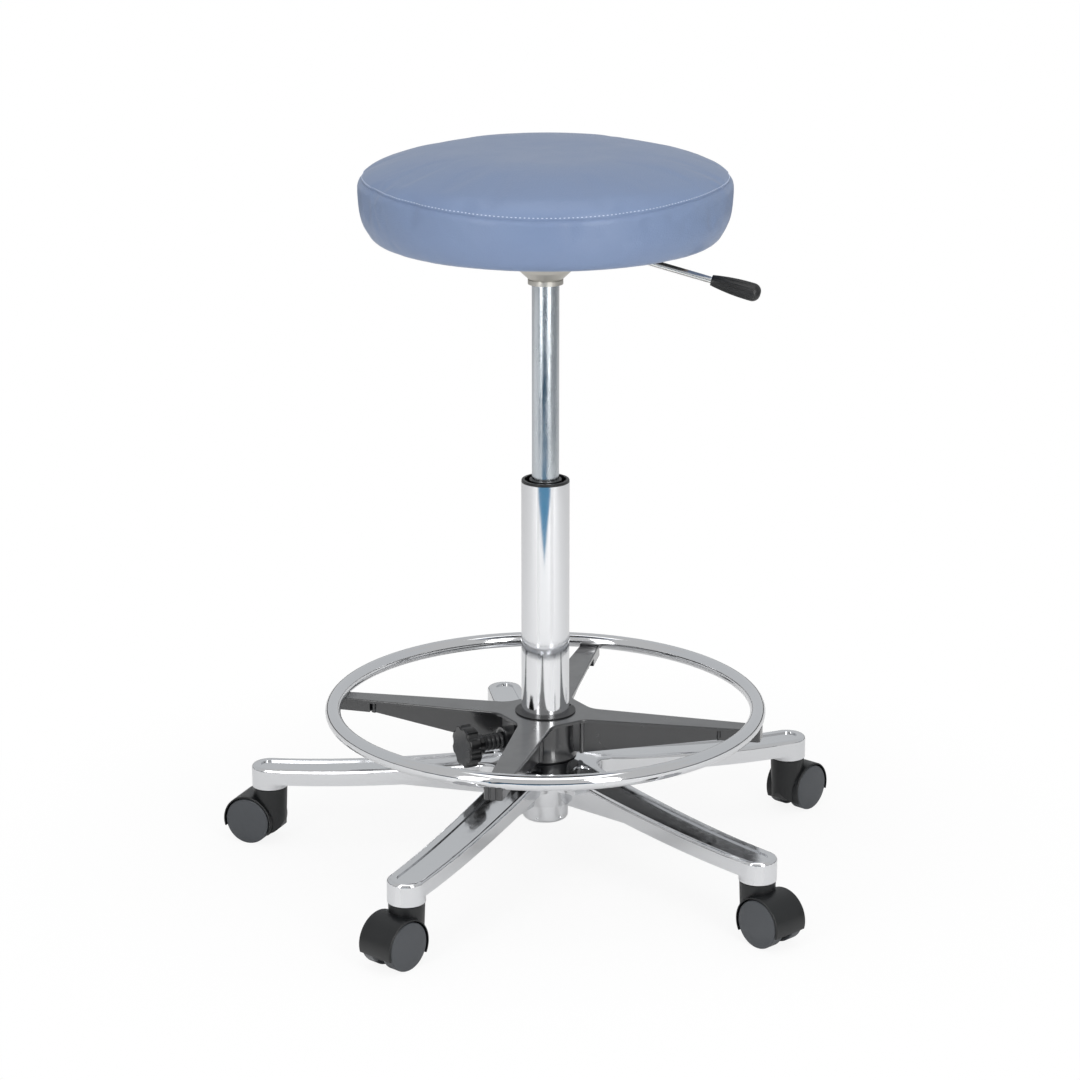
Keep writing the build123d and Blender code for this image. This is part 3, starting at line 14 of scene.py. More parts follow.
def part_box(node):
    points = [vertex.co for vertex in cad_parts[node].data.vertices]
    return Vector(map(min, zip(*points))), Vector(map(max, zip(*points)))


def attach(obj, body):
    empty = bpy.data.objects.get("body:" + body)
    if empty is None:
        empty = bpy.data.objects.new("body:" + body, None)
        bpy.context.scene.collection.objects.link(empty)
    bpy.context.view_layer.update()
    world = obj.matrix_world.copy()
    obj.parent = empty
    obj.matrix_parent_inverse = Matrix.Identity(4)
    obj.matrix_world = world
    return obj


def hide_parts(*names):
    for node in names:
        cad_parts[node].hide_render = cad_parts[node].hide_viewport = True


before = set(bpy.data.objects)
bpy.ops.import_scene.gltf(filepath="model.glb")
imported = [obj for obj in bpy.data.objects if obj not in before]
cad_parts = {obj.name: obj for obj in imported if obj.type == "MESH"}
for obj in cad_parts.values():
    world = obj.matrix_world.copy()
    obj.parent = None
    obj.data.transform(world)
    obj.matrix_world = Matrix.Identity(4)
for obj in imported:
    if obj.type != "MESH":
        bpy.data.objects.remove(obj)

LOG = logging.getLogger("stool")
MM = 0.001
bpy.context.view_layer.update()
NOISE_LOW, NOISE_HIGH = 0.3, 0.7    # most of a Noise texture's values lie between these
WAVE_PERIOD = 0.314                 # of the Wave texture's bands at a scale of 1
NEARLY = 0.1 * MM
OUT_OF_REACH = 0.5                  # a ray that starts this far from the cushion's centre starts outside it


# ---------------------------------------------------------------- colours and nodes
def linear(code: str) -> tuple[float, float, float, float]:
    """Turns an sRGB hex colour to linear light.

    Args:
        code: six hex digits, with or without a leading #.

    Returns:
        Red, green, blue and an alpha of 1.
    """
    digits = code.lstrip("#")
    parts = [int(digits[i:i + 2], 16) / 255 for i in (0, 2, 4)]
    light = [p / 12.92 if p <= 0.04045 else ((p + 0.055) / 1.055) ** 2.4 for p in parts]
    return (*light, 1.0)


def add_node(tree: bpy.types.NodeTree, kind: str, settings: dict | None = None,
             links: dict | None = None) -> bpy.types.Node:
    """Adds one node to a tree.

    Args:
        tree: the tree that gets the node.
        kind: the node's type name.
        settings: values by property name, or by input name or number.
        links: output sockets by the name or number of the input that they feed.

    Returns:
        The new node.
    """
    node = tree.nodes.new(kind)
    for key, value in (settings or {}).items():
        if isinstance(key, str) and hasattr(node, key):
            setattr(node, key, value)
        else:
            node.inputs[key].default_value = value
    for key, socket in (links or {}).items():
        tree.links.new(socket, node.inputs[key])
    return node


# ---------------------------------------------------------------- finishes
@dataclass(frozen=True)
class Finish(ABC):
    """What all finishes share. Each kind below draws the pattern that its making leaves."""

    name: str
    colour: str
    roughness: float
    metallic: float = 0.0
    ior: float = 1.5
    coat: float = 0.0
    sheen: float = 0.0
    anisotropic: float = 0.0
    coat_roughness: float = 0.12
    sheen_roughness: float = 0.4

    def material(self) -> bpy.types.Material:
        """Makes the material on its first use.

        Returns:
            The material, the same one each time.
        """
        found = bpy.data.materials.get(self.name)
        if found:
            return found
        made = bpy.data.materials.new(self.name)
        made.use_nodes = True
        tree = made.node_tree
        shader = tree.nodes["Principled BSDF"]
        values = {"Base Color": linear(self.colour), "Roughness": self.roughness, "Metallic": self.metallic,
                  "IOR": self.ior, "Coat Weight": self.coat, "Coat Roughness": self.coat_roughness,
                  "Sheen Weight": self.sheen, "Sheen Roughness": self.sheen_roughness,
                  "Anisotropic": self.anisotropic}
        for key, value in values.items():
            shader.inputs[key].default_value = value
        place = add_node(tree, "ShaderNodeTexCoord").outputs["Object"]
        self.draw(tree, shader, place)
        made.diffuse_color = linear(self.colour)
        return made

    @abstractmethod
    def draw(self, tree: bpy.types.NodeTree, shader: bpy.types.Node, place: bpy.types.NodeSocket) -> None:
        """Draws the pattern that the making leaves.

        Args:
            tree: the material's tree.
            shader: the Principled shader.
            place: the coordinates.
        """

    def cloud(self, tree: bpy.types.NodeTree, shader: bpy.types.Node, place: bpy.types.NodeSocket,
              size_mm: float, spread: float) -> bpy.types.Node:
        """Varies the roughness in soft patches.

        Args:
            tree: the material's tree.
            shader: the Principled shader.
            place: the coordinates.
            size_mm: size of a patch.
            spread: how far the roughness strays each way.

        Returns:
            The noise node, for other uses of the same patches.
        """
        patches = add_node(tree, "ShaderNodeTexNoise", {"Scale": 1 / (size_mm * MM), "Detail": 4.0},
                           {"Vector": place})
        spread_out = add_node(tree, "ShaderNodeMapRange",
                              {"From Min": NOISE_LOW, "From Max": NOISE_HIGH,
                               "To Min": max(0.02, self.roughness - spread),
                               "To Max": self.roughness + spread}, {"Value": patches.outputs["Fac"]})
        tree.links.new(spread_out.outputs["Result"], shader.inputs["Roughness"])
        return patches

    def relief(self, tree: bpy.types.NodeTree, shader: bpy.types.Node, height: bpy.types.NodeSocket,
               depth_mm: float, under: bpy.types.Node | None = None) -> bpy.types.Node:
        """Raises the surface by a height pattern.

        Args:
            tree: the material's tree.
            shader: the Principled shader.
            height: the pattern, 0 to 1.
            depth_mm: full height of the pattern.
            under: a relief that this one lies on.

        Returns:
            The bump node.
        """
        bump = add_node(tree, "ShaderNodeBump", {"Strength": 1.0, "Distance": depth_mm * MM},
                        {"Height": height})
        if under:
            tree.links.new(under.outputs["Normal"], bump.inputs["Normal"])
        tree.links.new(bump.outputs["Normal"], shader.inputs["Normal"])
        return bump


@dataclass(frozen=True)
class PolishedMetal(Finish):
    """Buffed or plated metal: a clear reflection with a slow waviness and faint wiping marks."""

    metallic: float = 1.0
    wave_mm: float = 40.0
    wave_depth_mm: float = 0.05
    patches_to_wave: float = 3.0     # patches of haze along one wave
    haze: float = 0.03
    round_column: bool = False

    def draw(self, tree: bpy.types.NodeTree, shader: bpy.types.Node, place: bpy.types.NodeSocket) -> None:
        """Slow waves bend the reflection; on a turned tube fine rings stretch it up and down.

        Args:
            tree: the material's tree.
            shader: the Principled shader.
            place: the coordinates.
        """
        self.cloud(tree, shader, place, self.wave_mm / self.patches_to_wave, self.haze)
        waves = add_node(tree, "ShaderNodeTexNoise", {"Scale": 1 / (self.wave_mm * MM), "Detail": 1.0},
                         {"Vector": place})
        self.relief(tree, shader, waves.outputs["Fac"], self.wave_depth_mm)
        if self.round_column:
            grain = add_node(tree, "ShaderNodeTangent", {"direction_type": "RADIAL", "axis": "Z"})
            tree.links.new(grain.outputs["Tangent"], shader.inputs["Tangent"])


@dataclass(frozen=True)
class GroundMetal(Finish):
    """Centreless-ground steel: fine rings round the bar and smears of oil along it."""

    metallic: float = 1.0
    ring_mm: float = 0.8     # real rings are finer; drawn as coarse as they need to show
    ring_depth_mm: float = 0.004
    haze: float = 0.09
    smear_mm: float = 6.0
    smear_stretch: float = 0.12      # smears are this much finer across the bar than along it
    ring_stretch: float = 0.02       # rings hardly change round the bar

    def draw(self, tree: bpy.types.NodeTree, shader: bpy.types.Node, place: bpy.types.NodeSocket) -> None:
        """Rings by height alone, smears drawn out along the bar.

        Args:
            tree: the material's tree.
            shader: the Principled shader.
            place: the coordinates.
        """
        smear_place = add_node(tree, "ShaderNodeMapping", {"Scale": (1.0, 1.0, self.smear_stretch)},
                               {"Vector": place})
        self.cloud(tree, shader, smear_place.outputs["Vector"], self.smear_mm, self.haze)
        ring_place = add_node(tree, "ShaderNodeMapping",
                              {"Scale": (self.ring_stretch, self.ring_stretch, 1.0)}, {"Vector": place})
        rings = add_node(tree, "ShaderNodeTexNoise", {"Scale": 1 / (self.ring_mm * MM), "Detail": 3.0},
                         {"Vector": ring_place.outputs["Vector"]})
        self.relief(tree, shader, rings.outputs["Fac"], self.ring_depth_mm)
        grain = add_node(tree, "ShaderNodeTangent", {"direction_type": "RADIAL", "axis": "Z"})
        tree.links.new(grain.outputs["Tangent"], shader.inputs["Tangent"])


@dataclass(frozen=True)
class GrainyFinish(Finish):
    """A surface with a small random grain: spark-eroded mouldings, sand castings, powder paint, foam."""

    grain_mm: float = 0.6
    grain_depth_mm: float = 0.02
    second: str = ""
    patch_mm: float = 25.0
    haze: float = 0.06

    def draw(self, tree: bpy.types.NodeTree, shader: bpy.types.Node, place: bpy.types.NodeSocket) -> None:
        """The grain as relief, and a slow drift between two shades.

        Args:
            tree: the material's tree.
            shader: the Principled shader.
            place: the coordinates.
        """
        patches = self.cloud(tree, shader, place, self.patch_mm, self.haze)
        grain = add_node(tree, "ShaderNodeTexNoise", {"Scale": 1 / (self.grain_mm * MM), "Detail": 2.0},
                         {"Vector": place})
        self.relief(tree, shader, grain.outputs["Fac"], self.grain_depth_mm)
        shades = add_node(tree, "ShaderNodeMix", {"data_type": "RGBA"}, {0: patches.outputs["Fac"]})
        shades.inputs[6].default_value = linear(self.colour)
        shades.inputs[7].default_value = linear(self.second or self.colour)
        tree.links.new(shades.outputs[2], shader.inputs["Base Color"])


@dataclass(frozen=True)
class Leatherette(Finish):
    """PVC-coated knit, embossed with a fine leather grain. It shows soft broad highlights."""

    second: str = ""
    cell_mm: float = 1.9     # embossing is about 0.9 mm; drawn as coarse as it needs to show
    cell_depth_mm: float = 0.15
    cell_blur: float = 0.35          # rounding where cells meet
    bend_size: float = 2.5           # rows of cells wander over this many cells
    bend_reach: float = 0.8          # and by this many
    drape_mm: float = 28.0
    drape_depth_mm: float = 0.25
    patch_mm: float = 45.0
    haze: float = 0.04

    def draw(self, tree: bpy.types.NodeTree, shader: bpy.types.Node, place: bpy.types.NodeSocket) -> None:
        """Cells with rounded tops, over the slow unevenness of foam under a stretched skin.

        Args:
            tree: the material's tree.
            shader: the Principled shader.
            place: the coordinates.
        """
        patches = self.cloud(tree, shader, place, self.patch_mm, self.haze)
        drape = add_node(tree, "ShaderNodeTexNoise", {"Scale": 1 / (self.drape_mm * MM), "Detail": 2.0},
                         {"Vector": place})
        base = self.relief(tree, shader, drape.outputs["Fac"], self.drape_depth_mm)
        bent = add_node(tree, "ShaderNodeTexNoise",
                        {"Scale": 1 / (self.bend_size * self.cell_mm * MM), "Detail": 1.0}, {"Vector": place})
        shift = add_node(tree, "ShaderNodeVectorMath",
                         {"operation": "MULTIPLY_ADD", 1: (self.bend_reach * self.cell_mm * MM,) * 3},
                         {0: bent.outputs["Color"], 2: place})
        cells = add_node(tree, "ShaderNodeTexVoronoi",
                         {"feature": "SMOOTH_F1", "Scale": 1 / (self.cell_mm * MM),
                          "Smoothness": self.cell_blur}, {"Vector": shift.outputs["Vector"]})
        turned = add_node(tree, "ShaderNodeMath", {"operation": "SUBTRACT", 0: 1.0},
                          {1: cells.outputs["Distance"]})
        self.relief(tree, shader, turned.outputs["Value"], self.cell_depth_mm, base)
        shades = add_node(tree, "ShaderNodeMix", {"data_type": "RGBA"}, {0: patches.outputs["Fac"]})
        shades.inputs[6].default_value = linear(self.colour)
        shades.inputs[7].default_value = linear(self.second)
        tree.links.new(shades.outputs[2], shader.inputs["Base Color"])


@dataclass(frozen=True)
class Plywood(Finish):
    """Birch veneer with its rings cut lengthwise, and darker layers at the edge."""

    second: str = "#B08A58"
    ring_mm: float = 7.0
    ring_stretch: float = 0.08       # growth rings are this much finer across the veneer
    grain_depth_mm: float = 0.05
    layer_mm: float = 1.5

    def draw(self, tree: bpy.types.NodeTree, shader: bpy.types.Node, place: bpy.types.NodeSocket) -> None:
        """Long waves along X for the grain, crossed by the layers of the thickness.

        Args:
            tree: the material's tree.
            shader: the Principled shader.
            place: the coordinates.
        """
        long_place = add_node(tree, "ShaderNodeMapping", {"Scale": (self.ring_stretch, 1.0, 1.0)},
                              {"Vector": place})
        grain = add_node(tree, "ShaderNodeTexNoise", {"Scale": 1 / (self.ring_mm * MM), "Detail": 5.0},
                         {"Vector": long_place.outputs["Vector"]})
        layers = add_node(tree, "ShaderNodeTexWave",
                          {"wave_type": "BANDS", "bands_direction": "Z",
                           "Scale": WAVE_PERIOD / (self.layer_mm * MM)}, {"Vector": place})
        both = add_node(tree, "ShaderNodeMath", {"operation": "MULTIPLY"},
                        {0: grain.outputs["Fac"], 1: layers.outputs["Fac"]})
        shades = add_node(tree, "ShaderNodeMix", {"data_type": "RGBA"}, {0: both.outputs["Value"]})
        shades.inputs[6].default_value = linear(self.colour)
        shades.inputs[7].default_value = linear(self.second)
        tree.links.new(shades.outputs[2], shader.inputs["Base Color"])
        self.relief(tree, shader, grain.outputs["Fac"], self.grain_depth_mm)


class Finishes:
    """Every finish on the stool, each named for its real material and how it was made."""

    # Buffed by hand: bright, with a reflection that wavers a little.
    POLISHED_CASTING = PolishedMetal("polished_die_cast_aluminium", "#DADBDD", 0.10, wave_mm=22.0,
                                     wave_depth_mm=0.035, haze=0.04)
    # Drawn, polished and chromed: a clear reflection, drawn out up and down.
    CHROMED_TUBE = PolishedMetal("chromed_steel_tube", "#E4E5E7", 0.10, anisotropic=0.75, wave_mm=60.0,
                                 wave_depth_mm=0.02, haze=0.02, round_column=True)
    # Bent and chromed: nearly a mirror.
    CHROMED_RING = PolishedMetal("chromed_ring_tube", "#DCDDDF", 0.07, wave_mm=50.0, wave_depth_mm=0.01,
                                 haze=0.02)
    # Nickel over drawn rod: bright, but softer than chrome.
    PLATED_LEVER = PolishedMetal("nickel_plated_rod", "#E6E6E4", 0.20, wave_mm=20.0, wave_depth_mm=0.01,
                                 haze=0.04)
    # Ground and oiled: long smeared reflections.
    GROUND_STEEL = GroundMetal("ground_steel_tube", "#CBD0D4", 0.24, anisotropic=0.8)
    # Barrel-plated zinc: grey and slightly cloudy.
    PLATED_STEEL = PolishedMetal("zinc_plated_steel", "#B9BBBC", 0.28, wave_mm=9.0, wave_depth_mm=0.01,
                                 haze=0.08)
    # Turned from bright bar: darker, with soft reflections.
    BRIGHT_STEEL = PolishedMetal("bright_steel_bar", "#A2A3A5", 0.22, wave_mm=8.0, wave_depth_mm=0.008,
                                 haze=0.06)
    # Cast in sand and tumbled: a warm grey with an even fine grain.
    CAST_ALUMINIUM = GrainyFinish("sand_cast_aluminium", "#CFCCC5", 0.42, metallic=1.0, second="#BDBAB3",
                                  grain_mm=0.9, grain_depth_mm=0.06)
    # Stove enamel over a casting: black under a satin gloss.
    STOVE_PAINT = GrainyFinish("black_stove_paint", "#16171A", 0.32, ior=1.6, coat=1.0, second="#1D1E20",
                               grain_mm=1.6, grain_depth_mm=0.02)
    # Oxidised in a hot bath: black with an oily sheen.
    BLACK_OXIDE = GrainyFinish("blackened_steel", "#141517", 0.34, second="#1B1C1E", grain_mm=1.2,
                               grain_depth_mm=0.01)
    # Moulded against a spark-eroded face: satin black.
    CASTOR_HOOD = GrainyFinish("spark_eroded_nylon", "#07090B", 0.40, second="#0D1012", grain_mm=0.7,
                               grain_depth_mm=0.02)
    # Moulded and scuffed by the floor: dark grey.
    CASTOR_WHEEL = GrainyFinish("moulded_nylon", "#3A3D41", 0.42, second="#424549", grain_mm=0.7,
                                grain_depth_mm=0.02)
    # Moulded smooth: black with a soft shine.
    BLACK_ACETAL = GrainyFinish("moulded_acetal", "#121213", 0.38, second="#191A1B", grain_mm=0.5,
                                grain_depth_mm=0.01)
    # Moulded in a polished tool: glossy black.
    GLOSS_KNOB = GrainyFinish("polished_phenolic", "#090A0B", 0.22, coat=0.25, second="#0E0F10", grain_mm=2.0,
                              grain_depth_mm=0.008)
    # Moulded rubber: matt black.
    RUBBER = GrainyFinish("moulded_rubber", "#161616", 0.75, second="#1C1C1C", grain_mm=1.0,
                          grain_depth_mm=0.05)
    # Sawn foam: pale and open.
    FOAM = GrainyFinish("open_cell_foam", "#D9D2B4", 0.95, second="#CFC6A2", grain_mm=1.2, grain_depth_mm=0.4)
    # Bonded fibres: a dull black felt.
    NONWOVEN = GrainyFinish("black_spunbond", "#1B1B1C", 0.9, sheen=0.3, second="#242425", grain_mm=0.8,
                            grain_depth_mm=0.12)
    # Peeled veneers glued crosswise: pale flame grain and striped edges.
    PLYWOOD = Plywood("birch_veneer", "#C9A877", 0.55)
    # Embossed PVC on knit: grey-blue, with broad soft highlights.
    BLUE_LEATHERETTE = Leatherette("pvc_leatherette", "#6E7F9E", 0.40, second="#7385A4", ior=1.42,
                                   coat=0.04, sheen=0.04)
    # Twisted filament: pale blue, slightly hairy.
    THREAD = GrainyFinish("polyester_thread", "#BFCADD", 0.6, sheen=0.2, second="#B2BED4", grain_mm=0.5,
                          grain_depth_mm=0.08)


# ---------------------------------------------------------------- shared making
def dress(finish: Finish, *names: str) -> None:
    """Gives one finish to carried-over nodes.

    Args:
        finish: the finish.
        names: the nodes.
    """
    made = finish.material()
    for name in names:
        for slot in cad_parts[name].material_slots:
            slot.material = made
        LOG.info("%s: %s", name, finish.name)


def new_piece(name: str, shape: bmesh.types.BMesh, finish: Finish, body: str) -> bpy.types.Object:
    """Turns a bmesh into a smooth piece that rides on a body.

    Args:
        name: the piece's name.
        shape: its mesh, which is freed.
        finish: its finish.
        body: the body it moves with.

    Returns:
        The piece.
    """
    mesh = bpy.data.meshes.new(name)
    shape.to_mesh(mesh)
    shape.free()
    mesh.polygons.foreach_set("use_smooth", [True] * len(mesh.polygons))
    mesh.materials.append(finish.material())
    piece = bpy.data.objects.new(name, mesh)
    bpy.context.scene.collection.objects.link(piece)
    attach(piece, body)
    LOG.info("%s: %d faces, rides on %s", name, len(mesh.polygons), body)
    return piece


# ---------------------------------------------------------------- seat
@dataclass(frozen=True)
class Crease:
    """A soft pull mark down the cover's side: direction, lean and size."""

    turn: float                      # degrees from +X
    lean: float                      # sideways run for each unit of height
    width: float
    depth: float


@dataclass
class SeatCushion:
    """The round upholstered cushion: foam under a leatherette cover with one stitched seam."""

    segments: int = 360
    crown_rows: int = 40
    side_rows: int = 20
    seam_rows: tuple[float, ...] = (
        18, 14, 11, 8.5, 6.5, 5, 3.8, 2.9, 2.2, 1.6, 1.1, 0.75, 0.45, 0.2, 0,
        -0.2, -0.45, -0.75, -1.1, -1.6, -2.2, -2.9, -3.8, -5, -6.5, -8.5, -11, -14)    # mm from the seam
    seam_fade: float = 20.0          # mm from the seam over which the rows stop following it
    crowding: float = 1.35           # draws the crown's rows towards the seam
    crown_gap: float = 0.004         # radians from straight up to the first row
    blank_turns: int = 120
    blank_rings: int = 60
    blank_flatness: float = 0.5
    blank_steepest: float = -0.93    # rays that point further down go straight to the base
    blank_floor: float = 1.6 * MM    # anything lower is flattened to the base
    blank_base: float = 0.2 * MM
    voxel: float = 5 * MM
    inset: float = 6 * MM            # the blank starts this far inside and swells
    held_height: float = 4 * MM      # the underside up to here is held on the board
    pressure: float = 4.0
    cloth_quality: int = 6
    cloth_frames: int = 20
    reach: float = 8 * MM            # how far a point may move as the foam swells
    showing: float = 0.5             # share of the foam's swelling that shows through the cover
    unevenness: float = 1.0 * MM     # most that shows
    seam_front_height: float = 722.6 * MM
    seam_rise: float = 9.0 * MM      # seam is this much higher at the sides and back
    seam_spread: float = 48.0        # degrees either side of the front over which it rises
    groove_width: float = 1.1 * MM
    groove_depth: float = 1.2 * MM
    puff: float = 0.3 * MM           # swelling either side of the seam
    puff_place: float = 5 * MM
    puff_width: float = 3 * MM
    hollow_depth: float = 0.9 * MM   # the top sinks a little inside the seam
    hollow_place: float = 45 * MM    # inside the seam
    hollow_width: float = 16 * MM
    stitch_pitch: float = 4.2 * MM
    stitch_length: float = 2.2 * MM
    stitch_radius: float = 0.5 * MM
    stitch_rise: float = 2.8 * MM    # stitches above the groove
    stitch_turns: int = 8
    stitch_rings: int = 6
    hem_radius: float = 150 * MM
    hem_thickness: float = 1.5 * MM
    board_play: float = 0.4 * MM
    pocket_start: float = 20 * MM    # inside radius of the pocket's roof before it is closed
    fold_top: float = 688 * MM       # pull marks deepen below this height
    fold_run: float = 20 * MM
    pull: float = 0.4 * MM
    pull_count: float = 7.0          # pull marks to a radian, roughly
    pull_level: float = 0.5          # height at which the noise is cut through, in its own cells
    fold: float = 0.3 * MM
    fold_count: float = 22.0
    fold_rise: float = 14.0          # how fast the small folds change with height, to a metre
    crease_height: float = 704 * MM
    crease_run: float = 15 * MM
    fill: float = 0.85               # nearly tight
    creases: tuple[Crease, ...] = (
        Crease(-152.0, 0.35, 5 * MM, 1.1 * MM), Crease(-147.0, -0.3, 4 * MM, 0.7 * MM),
        Crease(-158.0, 0.1, 7 * MM, 0.9 * MM), Crease(-45.0, -0.3, 5 * MM, 0.6 * MM),
        Crease(-30.0, 0.25, 6 * MM, 0.7 * MM), Crease(38.0, 0.2, 6 * MM, 0.6 * MM),
        Crease(112.0, -0.25, 5 * MM, 0.4 * MM), Crease(171.0, 0.2, 5 * MM, 0.35 * MM))
    centre: Vector = field(init=False)
    low: Vector = field(init=False)
    high: Vector = field(init=False)

    def __post_init__(self) -> None:
        """Takes the cushion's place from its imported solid."""
        self.low, self.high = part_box("seat_cover")
        self.centre = Vector((0, 0, (self.low.z + self.high.z) / 2))

    def surface(self, tree: BVHTree, ray: Vector) -> Vector:
        """Finds where a ray from the cushion's centre leaves a surface.

        Args:
            tree: the surface.
            ray: a unit direction.

        Returns:
            The outermost point of the surface along the ray.
        """
        hit = tree.ray_cast(self.centre + ray * OUT_OF_REACH, -ray)[0]
        return hit if hit else self.centre.copy()

    def blank(self, hull: BVHTree) -> bpy.types.Object:
        """Makes the slightly smaller closed form that the foam swells from.

        Args:
            hull: the cover's outer surface.

        Returns:
            The form, evenly meshed.
        """
        shape = bmesh.new()
        bmesh.ops.create_uvsphere(shape, u_segments=self.blank_turns, v_segments=self.blank_rings, radius=1.0)
        flat = self.low.z + self.blank_base - self.centre.z
        for vert in shape.verts:
            ray = Vector((vert.co.x, vert.co.y, vert.co.z * self.blank_flatness)).normalized()
            out = self.surface(hull, ray) if ray.z > self.blank_steepest else self.centre
            if (out - self.centre).length < NEARLY or out.z < self.low.z + self.blank_floor:
                vert.co = self.centre + ray * (flat / ray.z)
            else:
                out -= self.centre
                vert.co = self.centre + out * (1 - self.inset / out.length)
        mesh = bpy.data.meshes.new("cushion_blank")
        shape.to_mesh(mesh)
        shape.free()
        blank = bpy.data.objects.new("cushion_blank", mesh)
        bpy.context.scene.collection.objects.link(blank)
        even = blank.modifiers.new("even", "REMESH")
        even.mode = "VOXEL"
        even.voxel_size = self.voxel
        self.apply(blank)
        return blank

    @staticmethod
    def apply(piece: bpy.types.Object) -> None:
        """Makes a piece's modifiers part of its mesh.

        Args:
            piece: the piece, which is left with no modifier.
        """
        graph = bpy.context.evaluated_depsgraph_get()
        graph.update()
        made = bpy.data.meshes.new_from_object(piece.evaluated_get(graph), depsgraph=graph)
        piece.modifiers.clear()
        piece.data = made

    def swell(self, blank: bpy.types.Object) -> None:
        """Lets the foam press the cover outwards as cloth, with its underside held on the board.

        Args:
            blank: the form, whose mesh is changed.
        """
        start = [vert.co.copy() for vert in blank.data.vertices]
        held = blank.vertex_groups.new(name="held")
        low = [vert.index for vert in blank.data.vertices if vert.co.z < self.low.z + self.held_height]
        held.add(low, 1.0, "REPLACE")
        cloth = blank.modifiers.new("cloth", "CLOTH")
        cloth.settings.use_pressure = True
        cloth.settings.uniform_pressure_force = self.pressure
        cloth.settings.effector_weights.gravity = 0.0
        cloth.settings.vertex_group_mass = "held"
        cloth.settings.quality = self.cloth_quality
        cloth.point_cache.frame_start = 1
        cloth.point_cache.frame_end = self.cloth_frames
        for step in range(1, self.cloth_frames + 1):
            bpy.context.scene.frame_set(step)
        self.apply(blank)
        bpy.context.scene.frame_set(1)
        moved = 0.0
        for vert, was in zip(blank.data.vertices, start):
            shift = vert.co - was
            moved = max(moved, shift.length)
            if shift.length > self.reach:
                vert.co = was + shift.normalized() * self.reach
        LOG.info("cushion swelled by up to %.1f mm before the cap", moved / MM)
        finer = blank.modifiers.new("finer", "SUBSURF")
        finer.levels = finer.render_levels = 1
        self.apply(blank)

    def seam_height(self, turn: float) -> float:
        """The height of the seam in one direction.

        Args:
            turn: direction in radians from +X.

        Returns:
            The height in metres.
        """
        away = math.degrees(math.remainder(turn + math.pi / 2, math.tau)) / self.seam_spread
        return self.seam_front_height + self.seam_rise * (1 - math.exp(-away * away))

    def steepness(self, height: float) -> float:
        """The angle above level at which the centre sees a height on the cushion's side."""
        return math.atan2(height - self.centre.z, self.high.x)

    @staticmethod
    def ray(turn: float, steep: float) -> Vector:
        """The unit direction with a turn about +Z and an angle above level, in radians."""
        return Vector((math.cos(turn) * math.cos(steep), math.sin(turn) * math.cos(steep), math.sin(steep)))

    def rows(self) -> list[tuple[float, float]]:
        """The rows of the cover from the crown down to the foot.

        Returns:
            For each row its angle above level in radians, and the share of the seam's own rise
            and fall that it follows.
        """
        seam = self.steepness(self.seam_front_height)
        step = MM / self.high.x
        top = seam + self.seam_rows[0] * step
        bottom = seam + self.seam_rows[-1] * step
        foot = math.atan2(self.low.z - self.centre.z, self.foot_radius())
        crown_run = math.pi / 2 - self.crown_gap - top
        made = [(top + crown_run * (1 - i / self.crown_rows) ** self.crowding, 0.0)
                for i in range(self.crown_rows)]
        made += [(seam + away * step, 1.0 - (abs(away) / self.seam_fade) ** 2) for away in self.seam_rows]
        made += [(bottom + (foot - bottom) * i / self.side_rows, 0.0) for i in range(1, self.side_rows + 1)]
        return made

    def foot_radius(self) -> float:
        """The radius at which the cover turns under the board."""
        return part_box("seat_board")[1].x + self.hem_thickness / 2

    def cover(self, hull: BVHTree, body: BVHTree) -> bpy.types.Object:
        """Makes the cover: a spun skin laid on the foam, sewn at its seam and turned under the board.

        Args:
            hull: the cover's outer surface.
            body: the swollen form.

        Returns:
            The piece.
        """
        rows = self.rows()
        shape = bmesh.new()
        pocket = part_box("seat_board")[1] + Vector((1, 1, 1)) * self.board_play
        hem = self.low.z + self.hem_thickness
        # The outside is spun first as a plain cone, a millimetre of height to each row, and laid on after.
        outside = [Vector((self.pocket_start + i * MM, 0, -i * MM)) for i in range(len(rows))]
        inside = [Vector((self.hem_radius, 0, self.low.z)), Vector((self.hem_radius, 0, hem)),
                  Vector((pocket.x, 0, hem)), Vector((pocket.x, 0, pocket.z)),
                  Vector((self.pocket_start, 0, pocket.z))]
        chain = [shape.verts.new(point) for point in outside + inside]
        edges = [shape.edges.new(pair) for pair in zip(chain, chain[1:])]
        bmesh.ops.spin(shape, geom=chain + edges, cent=(0, 0, 0), axis=(0, 0, 1), angle=math.tau,
                       steps=self.segments, use_merge=True)
        rims = [edge for edge in shape.edges if edge.is_boundary]
        circles: list[list[bmesh.types.BMVert]] = [[] for _ in rows]
        for vert in shape.verts:
            if vert.co.z < MM / 2:
                circles[round(-vert.co.z / MM)].append(vert)
        for row, circle in zip(rows, circles):
            self.lay(circle, row, hull, body)
        bmesh.ops.holes_fill(shape, edges=rims, sides=0)
        bmesh.ops.recalc_face_normals(shape, faces=shape.faces)
        return new_piece("seat_cushion", shape, Finishes.BLUE_LEATHERETTE, "seat")

